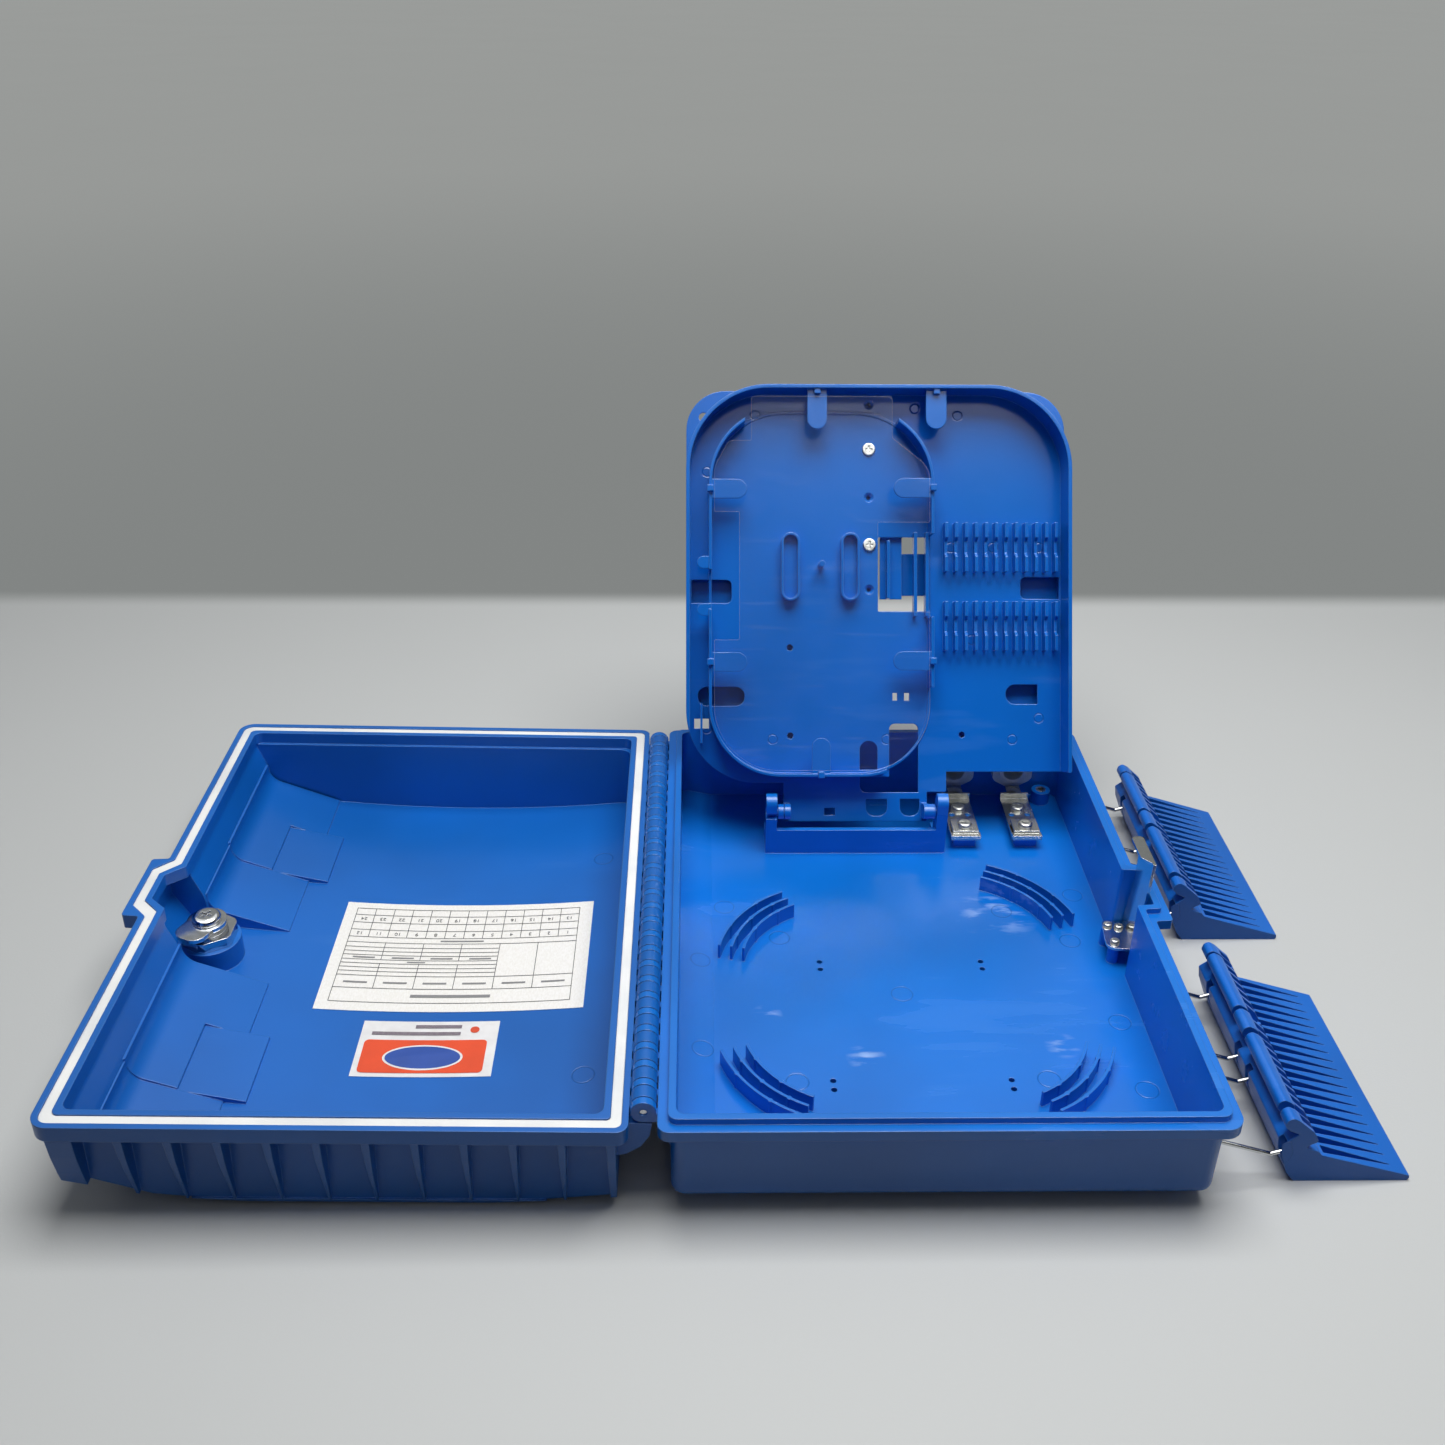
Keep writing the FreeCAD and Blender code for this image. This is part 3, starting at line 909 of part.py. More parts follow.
for place, (across, along, radius) in enumerate(BLIND):
    tray_holes.append(rod("blind_hole_%d" % place, "z", (across, along, plate_low + " - 3.8"), radius,
                          "tray_plate + 4.2"))
sinks = []
for place, (across, along) in enumerate(((-6, 228.1), (-6, 176), (-5.7, 124.3))):
    sinks.append(cone("tray_sink_%d" % place, (across, along, plate_top + " - 1.4"), 1.3, 3.1, 1.8))
window_ribs = [piece for piece in tray_parts if piece.Name.startswith("window_rib")]
tray_fixed = fuse("tray_fixed", *[piece for piece in tray_parts if piece not in window_ribs])
deck_cut = cut("tray_deck_cut", tray_fixed, *(tray_holes + sinks))
tongue = box("window_tongue", (0.6, 13), (119, 154.5), (plate_low + " - 2.6", plate_low + " - 1.2"))
tongue_root = box("window_root", (0.6, 13), (153.2, 156.5), (plate_low + " - 2.6", plate_low + " + 1"))
tray = fuse("tray_plate_whole", deck_cut, tongue, tongue_root, *window_ribs)
node(tray, "tray_plate", TRAY_PLACE)

# Clear snap-on cover over the coil side of the tray.
cover_low = "tray_wall - tray_back - 2.9"
cover = plate("tray_cover", [
    (-72.6, 229.2, 2), (5.2, 229.2, 2), (5.2, 206.5, 2), (26, 190, 14), (26, 160, 1), (-2.8, 160, 1),
    (-2.8, 110.5, 1), (26, 110.5, 1), (26, 23, 36), (-93, 23, 36), (-93, 95, 1), (-79.1, 95, 1),
    (-79.1, 165.6, 1), (-93, 165.6, 1), (-93, 190, 12), (-85, 204.8, 4), (-72.6, 204.8, 1)],
    cover_low, cover_low + " + 1.2")
node(cover, "tray_cover", TRAY_PLACE)

# Two bright cross-head screws in the tray.
tray_screws = doc.addObject("Part::Compound", "tray_screw_set")
heads = []
for place, (across, along) in enumerate(((-6.1, 202.9), (-5.7, 149.3))):
    name = "tray_screw_%d" % place
    low = plate_top + " + 0.02"
    cap = soften(name + "_head", rod(name + "_cap", "z", (across, along, low), 3.7, 1.5),
                 [(0.7, level_at(number(low) + 1.5))])
    stem = rod(name + "_stem", "z", (across, along, plate_low + " - 2"), 1.45, "tray_plate + 2.5")
    cross = [box(name + "_cross_a", (across - 2, across + 2), (along - 0.55, along + 0.55),
                 (low + " + 0.5", low + " + 3")),
             box(name + "_cross_b", (across - 0.55, across + 0.55), (along - 2, along + 2),
                 (low + " + 0.5", low + " + 3"))]
    heads.append(cut(name, fuse(name + "_blank", cap, stem), *cross))
tray_screws.Links = heads
node(tray_screws, "tray_screws", TRAY_PLACE)

# Latches: a ribbed handle turning on two wire bails whose ends turn in the base lugs.
knee_x = "%s + 23" % HALF_W
knee_z = "bail_z - 7.9"
grip_x = "%s + 30" % HALF_W
grip_z = "bail_z - 5.6"
for latch, tag in ((0, "near"), (1, "far")):
    start = "handle_near + %d * latch_step" % latch
    for pair, (first, second) in enumerate(LEGS):
        name = "bail_%s_%s" % (tag, "ab"[pair])
        wire = []
        for end, leg, inward in (("one", first, 1), ("two", second, -1)):
            leg_y = "%s + %g" % (start, leg)
            low_y = leg_y if inward > 0 else "%s - 9.2" % leg_y
            wire.append(rod("%s_foot_%s" % (name, end), "y", (pivot_x, low_y, "bail_z"), "bail_rad", 9.2))
            route = ((pivot_x, "bail_z"), (knee_x, knee_z), (grip_x, grip_z))
            for step, ((ax, az), (bx, bz)) in enumerate(zip(route, route[1:])):
                flat = FreeCAD.Vector(number(bx) - number(ax), 0, number(bz) - number(az))
                piece = doc.addObject("Part::Cylinder", "%s_leg_%s_%d" % (name, end, step))
                bind(piece, "Radius", "bail_rad")
                piece.Height = flat.Length
                seat(piece, (ax, leg_y, az), FreeCAD.Rotation(FreeCAD.Vector(0, 0, 1), flat))
                wire.append(piece)
            for step, (ax, az) in enumerate(route):
                wire.append(ball("%s_bend_%s_%d" % (name, end, step), (ax, leg_y, az), "bail_rad"))
        wire.append(rod(name + "_bar", "y", (grip_x, "%s + %g" % (start, first), grip_z), "bail_rad",
                        second - first))
        node(fuse(name, *wire), name)
    edge = lambda across, up: ("%s + %g" % (HALF_W, across), up)
    profile = [edge(34.8, 0), edge(84, 0), edge(84.9, 1.2), edge(84.6, 2.8), edge(44, 15.2),
               edge(42.5, 17.2),
               edge(37, 19.4), edge(37, 20.6), edge(41.3, 23.2), edge(38.5, 28.2), edge(31, 34.9),
               edge(28, 36.6), edge(25.7, 35.2), edge(25.1, 32), edge(27.5, 29.6), edge(32, 27.4),
               edge(31.1, 26), edge(25.8, 21.6), edge(26.8, 15.5), edge(31, 5)]
    block = prism("handle_block_" + tag, "xz", profile, start, start + " + handle_long")
    blank = soften("handle_blank_" + tag, block, [
        (2, lengthwise(edge(28, 36.6))), (2, lengthwise(edge(25.7, 35.2))),
        (1.8, lengthwise(edge(25.1, 32))), (3, lengthwise(edge(38.5, 28.2))),
        (1.4, lengthwise(edge(41.3, 23.2))), (1.2, lengthwise(edge(25.8, 21.6))),
        (2.5, lengthwise(edge(44, 15.2)))])
    tools = []
    ribs = 20
    pitch = "((handle_long - 2.6) / %d)" % ribs
    for k in range(ribs):
        low = "%s + 2 + %d * %s" % (start, k, pitch)
        high = "%s + %s - 1.4" % (low, pitch)
        tools.append(prism("handle_pocket_%s_%d" % (tag, k), "xy", [
            (edge(45.5, 0)[0], low), (edge(77, 0)[0], "%s + (%s - 1.4) * 0.45" % (low, pitch)),
            (edge(77, 0)[0], "%s + (%s - 1.4) * 0.55" % (low, pitch)), (edge(45.5, 0)[0], high)], 3.2, 18))
        tools.append(prism("handle_flute_%s_%d" % (tag, k), "xz", [
            edge(34.5, 27.2), edge(38.6, 21.8), edge(45, 21.8), edge(45, 36), edge(32.8, 36),
            edge(32.8, 32.5)], low, high))
    for k, (share, wide) in enumerate(((0.06, 3.6), (0.452, 3.6), (0.588, 2.4), (0.928, 1.4))):
        low = "%s + %g * handle_long" % (start, share)
        tools.append(box("handle_gap_%s_%d" % (tag, k), (HALF_W + " + 22", HALF_W + " + 45"),
                         (low, "%s + %g" % (low, wide)), ("bail_z + 4.6", "bail_z + 20")))
    for pair, (first, second) in enumerate(LEGS):
        low = "%s + %g" % (start, first)
        tools.append(rod("handle_bore_%s_%d" % (tag, pair), "y", (grip_x, low + " - 2.2", grip_z),
                         "bail_rad + bail_play", second - first + 4.4))
        for end in (first, second):
            tools.append(prism("handle_way_%s_%d_%d" % (tag, pair, end), "xz", [
                (grip_x + " + 1.3", grip_z + " - 1.3"), (grip_x + " + 1.3", grip_z + " + 1.3"),
                (grip_x + " - 0.5", grip_z + " + 7"), (grip_x + " - 7", grip_z + " + 7"),
                (grip_x + " - 7", grip_z + " - 7"), (grip_x + " - 0.5", grip_z + " - 7")],
                "%s + %g" % (start, end - 2.2), "%s + %g" % (start, end + 2.2)))
    node(cut("handle_" + tag, blank, *tools), "latch_handle_" + tag)

doc.recompute()
for obj in doc.Objects:
    if "Invalid" in obj.State or "Error" in obj.State:
        raise RuntimeError("%s did not build: %s" % (obj.Name, obj.State))
os.makedirs("parts", exist_ok=True)
for obj in NODES:
    shape = obj.Shape
    if shape.isNull() or not shape.isValid():
        raise RuntimeError("%s has no valid shape" % obj.Label)
    counts = (obj.Label, len(shape.Solids), len(shape.Faces), shape.Volume)
    print("%-18s solids %d faces %d volume %.0f" % counts)
    shape.exportStep("parts/%s.step" % obj.Label)
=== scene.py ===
import math

import bmesh
import bpy
from mathutils import Matrix, Vector


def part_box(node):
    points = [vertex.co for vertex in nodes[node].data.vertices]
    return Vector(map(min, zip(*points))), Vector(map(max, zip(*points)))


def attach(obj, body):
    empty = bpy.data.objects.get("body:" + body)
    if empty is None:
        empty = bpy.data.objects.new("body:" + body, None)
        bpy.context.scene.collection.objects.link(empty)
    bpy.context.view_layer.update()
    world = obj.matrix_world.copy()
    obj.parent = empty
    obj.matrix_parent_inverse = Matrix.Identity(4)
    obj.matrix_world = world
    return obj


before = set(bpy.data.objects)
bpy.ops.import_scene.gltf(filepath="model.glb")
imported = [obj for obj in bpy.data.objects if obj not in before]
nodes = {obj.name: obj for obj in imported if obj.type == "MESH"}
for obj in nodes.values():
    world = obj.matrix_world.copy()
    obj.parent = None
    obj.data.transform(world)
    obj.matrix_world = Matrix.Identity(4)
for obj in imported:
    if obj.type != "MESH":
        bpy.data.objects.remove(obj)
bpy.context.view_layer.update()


# Base shell: the deep half of the box, one royal-blue moulding with its floor fins, bosses, tray bracket
# and hinge knuckles. It comes out of the tool with round ejector marks on the floor, and the floor picks
# up fine scuffs where cable is pulled across it.
class Wire:
    """One socket of a finish. Sums between wires add Math nodes to its tree."""

    def __init__(self, tree, socket):
        self.tree = tree
        self.socket = socket

    def node(self, kind, settings, sockets, out=0):
        made = self.tree.nodes.new(kind)
        for key, value in settings.items():
            setattr(made, key, value)
        for key, value in sockets.items():
            if isinstance(value, Wire):
                self.tree.links.new(value.socket, made.inputs[key])
            else:
                made.inputs[key].default_value = value
        return Wire(self.tree, made.outputs[out])

    def math(self, operation, *terms):
        return self.node("ShaderNodeMath", {"operation": operation}, dict(enumerate(terms)))

    def __add__(self, other):
        return self.math("ADD", self, other)

    __radd__ = __add__

    def __mul__(self, other):
        return self.math("MULTIPLY", self, other)

    __rmul__ = __mul__

    def __sub__(self, other):
        return self.math("SUBTRACT", self, other)

    def __rsub__(self, other):
        return self.math("SUBTRACT", other, self)

    def __truediv__(self, other):
        return self.math("DIVIDE", self, other)

    def __abs__(self):
        return self.math("ABSOLUTE", self)

    def most(self, other):
        return self.math("MAXIMUM", self, other)

    def least(self, other):
        return self.math("MINIMUM", self, other)

    def rise(self, low, high):
        """Smooth step from 0 at low to 1 at high."""
        return self.node("ShaderNodeMapRange", {"interpolation_type": "SMOOTHSTEP"},
                         {"Value": self, "From Min": low, "From Max": high})

    def noise(self, scale, detail, stretch=(1, 1, 1)):
        spot = self.node("ShaderNodeVectorMath", {"operation": "MULTIPLY"}, {0: self, 1: stretch})
        return self.node("ShaderNodeTexNoise", {}, {"Vector": spot, "Scale": scale, "Detail": detail})

    def reach(self, spot):
        """Distance from a point of the piece."""
        return self.node("ShaderNodeVectorMath", {"operation": "DISTANCE"}, {0: self, 1: spot}, "Value")

    def part(self, axis):
        return self.node("ShaderNodeSeparateXYZ", {}, {0: self}, axis)

    def blend(self, low, high):
        """Colour between low and high."""
        return self.node("ShaderNodeMix", {"data_type": "RGBA"}, {0: self, 6: low, 7: high}, 2)

    def bump(self, depth, under=None):
        sockets = {"Height": self, "Distance": depth}
        if under:
            sockets["Normal"] = under
        return self.node("ShaderNodeBump", {}, sockets)


def paint(red, green, blue):
    """Linear colour from the usual 0 to 255 screen values."""
    return tuple((c / 255 / 12.92) if c < 10.3 else ((c / 255 + 0.055) / 1.055) ** 2.4
                 for c in (red, green, blue)) + (1.0,)


def shade(tone, share):
    """The same colour made darker or lighter by a share."""
    return tuple(share * c for c in tone[:3]) + (1,)


def new_finish(name):
    finish = bpy.data.materials.new(name)
    finish.use_nodes = True
    tree = finish.node_tree
    place = Wire(tree, tree.nodes.new("ShaderNodeTexCoord").outputs["Object"])
    return finish, tree.nodes["Principled BSDF"], place


def feed(shader, sockets):
    for key, value in sockets.items():
        if isinstance(value, Wire):
            value.tree.links.new(value.socket, shader.inputs[key])
        else:
            shader.inputs[key].default_value = value


def dress(names, finish):
    for name in names:
        for slot in nodes[name].material_slots:
            slot.material = finish


def round_over(place, width):
    """Normal that runs smoothly over the corners."""
    return place.node("ShaderNodeBevel", {"samples": 6}, {"Radius": width})


def corner_mask(rounded):
    """1 on the corners that a rounded normal smooths, 0 on the flats."""
    plain = rounded.node("ShaderNodeNewGeometry", {}, {}, "True Normal")
    agree = rounded.node("ShaderNodeVectorMath", {"operation": "DOT_PRODUCT"},
                         {0: rounded, 1: plain}, "Value")
    return (1 - agree).rise(0.02, 0.3)


MOULD_CORNER = 0.0007
SKIN_DEPTH = 0.00008
FLOOR_MARK_ROUND = 0.0052
MARK_LINE = 0.0005
PALE_EDGE_HIGHLIGHT_AND_SCUFF = paint(128, 178, 238)
PALE_SCRATCH = paint(176, 206, 246)


def moulded_blue(name, tone, sheen, grain, scuffs, marks=(), mark_round=FLOOR_MARK_ROUND, worn=()):
    finish, shader, place = new_finish(name)
    rounded = round_over(place, MOULD_CORNER)
    painted_edge_highlight = corner_mask(rounded)
    drift = place.noise(8, 3)
    smear = place.noise(30, 5, (1, 0.4, 1))
    streak = place.noise(70, 6, (0.16, 1, 1)) * place.noise(9, 2)
    rubbed = streak.rise(0.33, 0.42) * scuffs
    pits = place.noise(1600, 1)
    colour = drift.rise(0.3, 0.7).blend(shade(tone, 0.86), shade(tone, 1.10))
    # Painted highlight: every corner is painted toward a pale blue. The scuff streaks blend toward the same
    # pale blue as real wear.
    colour = (rubbed * 0.06 + painted_edge_highlight * 0.42).blend(colour, PALE_EDGE_HIGHLIGHT_AND_SCUFF)
    strokes = place.noise(170, 6, (0.3, 1, 1)).rise(0.50, 0.66)
    for spot, wide in worn:
        scratched = (1 - place.reach(spot) / wide).most(0) * strokes * 0.7
        colour = scratched.blend(colour, PALE_SCRATCH)
    height = pits * grain + smear * 0.25
    ring = None
    for spot in marks:
        around = 1 - abs(place.reach(spot) - mark_round) / MARK_LINE
        ring = around if ring is None else ring.most(around)
    if ring:
        ring = ring.most(0)
        height = height - ring * 1.6
        colour = (ring * 0.5).blend(colour, shade(tone, 0.4))
    feed(shader, {"Base Color": colour, "Roughness": sheen + 0.10 * (smear - 0.5) + 0.08 * rubbed,
                  "Normal": height.bump(SKIN_DEPTH, rounded), "Specular IOR Level": 0.5})
    return finish


MILLIMETRE = 0.001
FLOOR_TOP = 10
FLOOR_MARKS = ((59, 37), (90, 12), (-2, -29), (100, -50), (58, -88), (-57, -89), (-101, -4), (-100, -68),
               (-60, 15), (101, -95), (100, 51), (-88, 41))
FLOOR_RUBS = ((55, 36, 24), (-24, -73, 10), (-69, -44, 8), (69, -66, 9))


def on_floor(across, along):
    """A place on the base floor from its flat drawing in millimetres."""
    return tuple(Vector((across, along, FLOOR_TOP)) * MILLIMETRE)


base_blue = moulded_blue("base_blue", paint(10, 112, 206), 0.23, 0.30, 1.0,
                         [on_floor(*spot) for spot in FLOOR_MARKS],
                         worn=[(on_floor(x, y), wide * MILLIMETRE) for x, y, wide in FLOOR_RUBS])
dress(["base_shell"], base_blue)


# Hinge pin: a straight steel wire pushed through the knuckles of both halves. Only its ends and the gaps
# between the knuckles show it.
STEEL_CORNER = 0.0003


def drawn_steel(name, tint, gloss, stretch):
    finish, shader, place = new_finish(name)
    lines = place.noise(900, 3, stretch)
    cloud = place.noise(60, 4)
    feed(shader, {"Base Color": cloud.rise(0.3, 0.7).blend(shade(tint, 0.8), tint), "Metallic": 1.0,
                  "Roughness": gloss + 0.12 * (lines - 0.5) + 0.10 * cloud.rise(0.45, 0.8),
                  "Normal": lines.bump(0.00002, round_over(place, STEEL_CORNER))})
    return finish


dress(["hinge_pin"], drawn_steel("pin_steel", paint(196, 198, 200), 0.28, (1, 0.05, 1)))


# Cable glands: a grey nylon body through the far wall with a lock nut inside and a domed cap outside.
# Moulded nylon has a dull, slightly cloudy skin.
NYLON_CORNER = 0.0005


def cloudy_nylon(name, tone):
    finish, shader, place = new_finish(name)
    rounded = round_over(place, NYLON_CORNER)
    cloud = place.noise(90, 4)
    pits = place.noise(2200, 2)
    colour = cloud.rise(0.3, 0.7).blend(shade(tone, 0.78), tone)
    # Painted highlight: the corners are painted a lighter grey.
    colour = (corner_mask(rounded) * 0.3).blend(colour, paint(205, 207, 206))
    feed(shader, {"Base Color": colour, "Roughness": 0.44 + 0.14 * (cloud - 0.5),
                  "Normal": (pits * 0.5 + cloud * 0.3).bump(0.00005, rounded)})
    return finish


dress(["gland_body_a", "gland_body_b", "gland_nut_a", "gland_nut_b", "gland_cap_a", "gland_cap_b"],
      cloudy_nylon("gland_nylon", paint(205, 208, 207)))


# Cable clamps: pressed bright-plated steel brackets and saddles, held to the floor pillars with zinc
# screws. The sheet shows its rolling lines and a soft mottling.
clamp_steel = drawn_steel("clamp_steel", paint(214, 214, 210), 0.20, (1, 0.06, 1))
dress(["clamp_bracket_a", "clamp_bracket_b", "clamp_jaw_a", "clamp_jaw_b"], clamp_steel)


# Screws of the clamps and striker, and the earth insert: zinc-plated steel, duller than the sheet and
# faintly mottled. The screws are driven into the pillars of the base.
SCREW_CORNER = 0.00025


def plated_zinc(name, tint, gloss):
    finish, shader, place = new_finish(name)
    mottle = place.noise(420, 5)
    feed(shader, {"Base Color": mottle.rise(0.3, 0.7).blend(shade(tint, 0.72), tint), "Metallic": 1.0,
                  "Roughness": gloss + 0.18 * (mottle - 0.5),
                  "Normal": mottle.bump(0.00003, round_over(place, SCREW_CORNER))})
    return finish


screw_zinc = plated_zinc("screw_zinc", paint(206, 206, 200), 0.30)
dress(["clamp_screws", "striker_screws", "earth_insert"], screw_zinc)


# Striker: one strip of bright plated sheet, bent up from its screwed foot to the tongue that the lock
# catches. It is polished enough to mirror the blue wall.
dress(["striker_plate"], drawn_steel("striker_steel", paint(222, 222, 220), 0.13, (1, 1, 0.05)))


# Lid shell: the shallow half, the same blue plastic with a crowned back, ribbed flanks and a stepped
# floor. Its floor is satin, with two round ejector marks near the hinge.
LID_MARKS = ((-0.1548, -0.0802, 0.0068), (-0.1548, 0.0902, 0.0068))
# Painted shade: the lid's blue is set darker than the base's, though it is the same plastic.
lid_blue = moulded_blue("lid_blue", paint(8, 98, 184), 0.36, 0.42, 0.5, LID_MARKS)
dress(["lid_shell"], lid_blue)


# Gasket: a white closed-cell foam cord pressed into the rim groove of the lid, soft and matt with fine
# open cells on its skin.
FOAM_CORNER = 0.0011
foam, shader, place = new_finish("gasket_foam")
cells = place.node("ShaderNodeTexVoronoi", {}, {"Vector": place, "Scale": 1500})
grime = place.noise(34, 5)
feed(shader, {"Base Color": grime.rise(0.35, 0.75).blend(paint(243, 243, 240), paint(226, 228, 228)),
              "Roughness": 0.72 + 0.15 * (grime - 0.5),
              "Normal": (cells * 0.6 + grime * 0.6).bump(0.00012, round_over(place, FOAM_CORNER))})
dress(["gasket"], foam)


# Lock: a chromed quarter-turn body held by a hex nut, with a flat cam under one big cross-slot screw.
# The chrome is bright with dull handling marks.
CHROME_CORNER = 0.0004


def chromed(name, tint, gloss):
    finish, shader, place = new_finish(name)
    touch = place.noise(140, 6)
    feed(shader, {"Base Color": touch.rise(0.3, 0.75).blend(tint, shade(tint, 0.82)),
                  "Metallic": 1.0, "Roughness": gloss + 0.16 * touch.rise(0.45, 0.8),
                  "Normal": touch.bump(0.00003, round_over(place, CHROME_CORNER))})
    return finish


lock_chrome = chromed("lock_chrome", paint(216, 217, 219), 0.12)
dress(["lock_body", "lock_nut", "lock_cam", "cam_screw"], lock_chrome)


# Record sheet: an off-white paper form stuck to the crowned lid floor. It is printed with thin black
# rules, twenty-four numbered cells and short grey bars.
paper, shader, place = new_finish("record_paper")
fibre = place.noise(1300, 4, (1, 0.4, 1))
cockle = place.noise(22, 2)
feed(shader, {"Base Color": fibre.rise(0.3, 0.7).blend(paint(243, 240, 232), paint(251, 249, 243)),
              "Roughness": 0.62 + 0.12 * (cockle - 0.5),
              "Normal": (fibre * 0.12 + cockle * 3).bump(0.0001)})
dress(["record_sheet"], paper)

HINGE = Vector((-0.1243, 0, 0.050))
CROWN = Vector((-0.2381, 0, 0.7985))
PRINT_ROUND = 0.79653
LID_TIP = Matrix.Rotation(math.radians(1.04), 3, "Y")
INK_LIFT = 0.00012
CROWN_STEP = 0.006


def printed(name, ink, finish, lift):
    """Thin ink on the crowned floor: a flat bmesh drawn as seen from above the level lid."""
    for vert in ink.verts:
        across = vert.co.x - CROWN.x
        vert.co.z = CROWN.z - math.sqrt((PRINT_ROUND - lift) ** 2 - across ** 2)
    bmesh.ops.rotate(ink, cent=HINGE, matrix=LID_TIP, verts=ink.verts)
    mesh = bpy.data.meshes.new(name)
    ink.to_mesh(mesh)
    ink.free()
    mesh.materials.append(finish)
    piece = bpy.data.objects.new(name, mesh)
    bpy.context.scene.collection.objects.link(piece)
    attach(piece, "lid")


def patch(ink, left, right, near, far):
    """A flat oblong of ink between two x and two y places."""
    steps = max(1, round((right - left) / CROWN_STEP))
    made = bmesh.ops.create_grid(ink, x_segments=steps, y_segments=1, size=0.5)
    bmesh.ops.scale(ink, vec=(right - left, far - near, 1), verts=made["verts"])
    bmesh.ops.translate(ink, vec=((left + right) / 2, (near + far) / 2, 0), verts=made["verts"])


def inked(name, tone, patchiness):
    finish, shader, place = new_finish(name)
    spread = place.noise(700, 4)
    feed(shader, {"Base Color": (spread.rise(0.35, 0.75) * patchiness).blend(tone, paint(150, 150, 148)),
                  "Roughness": 0.5 + 0.2 * (spread - 0.5), "Normal": spread.bump(0.00002)})
    return finish


sheet_low, sheet_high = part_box("record_sheet")
SHEET_WIDE = sheet_high.x - sheet_low.x
SHEET_LONG = sheet_high.y - sheet_low.y
LEFT, RIGHT = 0.052, 0.952
CELLS, FIELDS = 12, 6


def sheet_x(share):
    return sheet_low.x + SHEET_WIDE * share


def sheet_y(share):
    return sheet_high.y - SHEET_LONG * share


def column_share(column, columns):
    """Where a column of the form starts, as a share of the sheet's width."""
    return LEFT + (RIGHT - LEFT) * column / columns


LINE = 0.00016
CELL_ROWS = (0.058, 0.122, 0.196, 0.266, 0.336)
UPPER_ROWS = (0.388, 0.432, 0.470, 0.506, 0.548)
LOWER_ROWS = (0.583, 0.620, 0.656, 0.694, 0.806)
FORM_FOOT = 0.928
SHORT_ROWS = UPPER_ROWS[1:] + LOWER_ROWS[:3]
SHORT_END = 4
EDGE_SPANS = ((CELL_ROWS[-1], FORM_FOOT),)
SPLIT_SPANS = ((UPPER_ROWS[0], UPPER_ROWS[-1]), (LOWER_ROWS[0], LOWER_ROWS[-1]))
WHOLE_SPANS = ((UPPER_ROWS[0], LOWER_ROWS[-1]),)
COLUMN_SPANS = (EDGE_SPANS,) + 3 * (SPLIT_SPANS,) + 2 * (WHOLE_SPANS,) + (EDGE_SPANS,)
rules = bmesh.new()
for row in CELL_ROWS + UPPER_ROWS + LOWER_ROWS + (FORM_FOOT,):
    end = column_share(SHORT_END, FIELDS) if row in SHORT_ROWS else RIGHT
    patch(rules, sheet_x(LEFT), sheet_x(end), sheet_y(row) - LINE, sheet_y(row) + LINE)
for column in range(CELLS + 1):
    x = sheet_x(column_share(column, CELLS))
    patch(rules, x - LINE, x + LINE, sheet_y(CELL_ROWS[-1]), sheet_y(CELL_ROWS[0]))
for column, spans in enumerate(COLUMN_SPANS):
    x = sheet_x(column_share(column, FIELDS))
    for far, near in spans:
        patch(rules, x - LINE, x + LINE, sheet_y(near), sheet_y(far))
black_ink = inked("sheet_ink", paint(44, 44, 46), 0.35)
printed("sheet_rules", rules, black_ink, INK_LIFT)

DIGIT_TALL = 0.0034
FIRST_ROW, SECOND_ROW = 0.301, 0.159
numbers = bmesh.new()
for count in range(1, 2 * CELLS + 1):
    digits = bpy.data.curves.new("cell_number", "FONT")
    digits.body = str(count)
    digits.size = DIGIT_TALL
    digits.align_x = "CENTER"
    digits.align_y = "CENTER"
    drawn = bpy.data.objects.new("cell_number", digits)
    bpy.context.scene.collection.objects.link(drawn)
    flat = bpy.data.meshes.new_from_object(drawn.evaluated_get(bpy.context.evaluated_depsgraph_get()))
    column = CELLS - 1 - (count - 1) % CELLS
    across = sheet_x(column_share(column + 0.5, CELLS))
    along = sheet_y(FIRST_ROW if count <= CELLS else SECOND_ROW)
    flat.transform(Matrix.Translation((across, along, 0)) @ Matrix.Rotation(math.pi, 4, "Z"))
    numbers.from_mesh(flat)
    bpy.data.objects.remove(drawn)
    bpy.data.curves.remove(digits)
    bpy.data.meshes.remove(flat)
printed("sheet_numbers", numbers, black_ink, INK_LIFT)

GREY_BARS = [(0.50, 0.362, 0.17, 0.012), (0.34, 0.5655, 0.07, 0.010), (0.50, 0.868, 0.30, 0.024)]
GREY_BARS += [(column_share(column + 0.55, FIELDS), 0.528, 0.085, 0.012) for column in range(SHORT_END)]
GREY_BARS += [(column_share(column + 0.52, FIELDS), 0.755, 0.09, 0.014) for column in range(FIELDS)]
bars = bmesh.new()
for across, along, wide, tall in GREY_BARS:
    patch(bars, sheet_x(across - wide / 2), sheet_x(across + wide / 2),
          sheet_y(along + tall / 2), sheet_y(along - tall / 2))
printed("sheet_bars", bars, inked("bar_ink", paint(136, 136, 136), 0.5), INK_LIFT)


# Colour label: a small white film label below the sheet, with an orange-red field, a blue oval in a white
# ring and two grey bars beside an orange dot. The print is flat and a little glossy.
film, shader, place = new_finish("label_white")
cloud = place.noise(120, 3)
feed(shader, {"Base Color": cloud.rise(0.3, 0.7).blend(paint(232, 230, 228), paint(243, 242, 240)),
              "Roughness": 0.34 + 0.1 * (cloud - 0.5), "Normal": cloud.bump(0.0001)})
dress(["colour_label"], film)

label_low, label_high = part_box("colour_label")
LABEL_LONG = label_high.y - label_low.y


def label_y(share):
    return label_low.y + share * LABEL_LONG


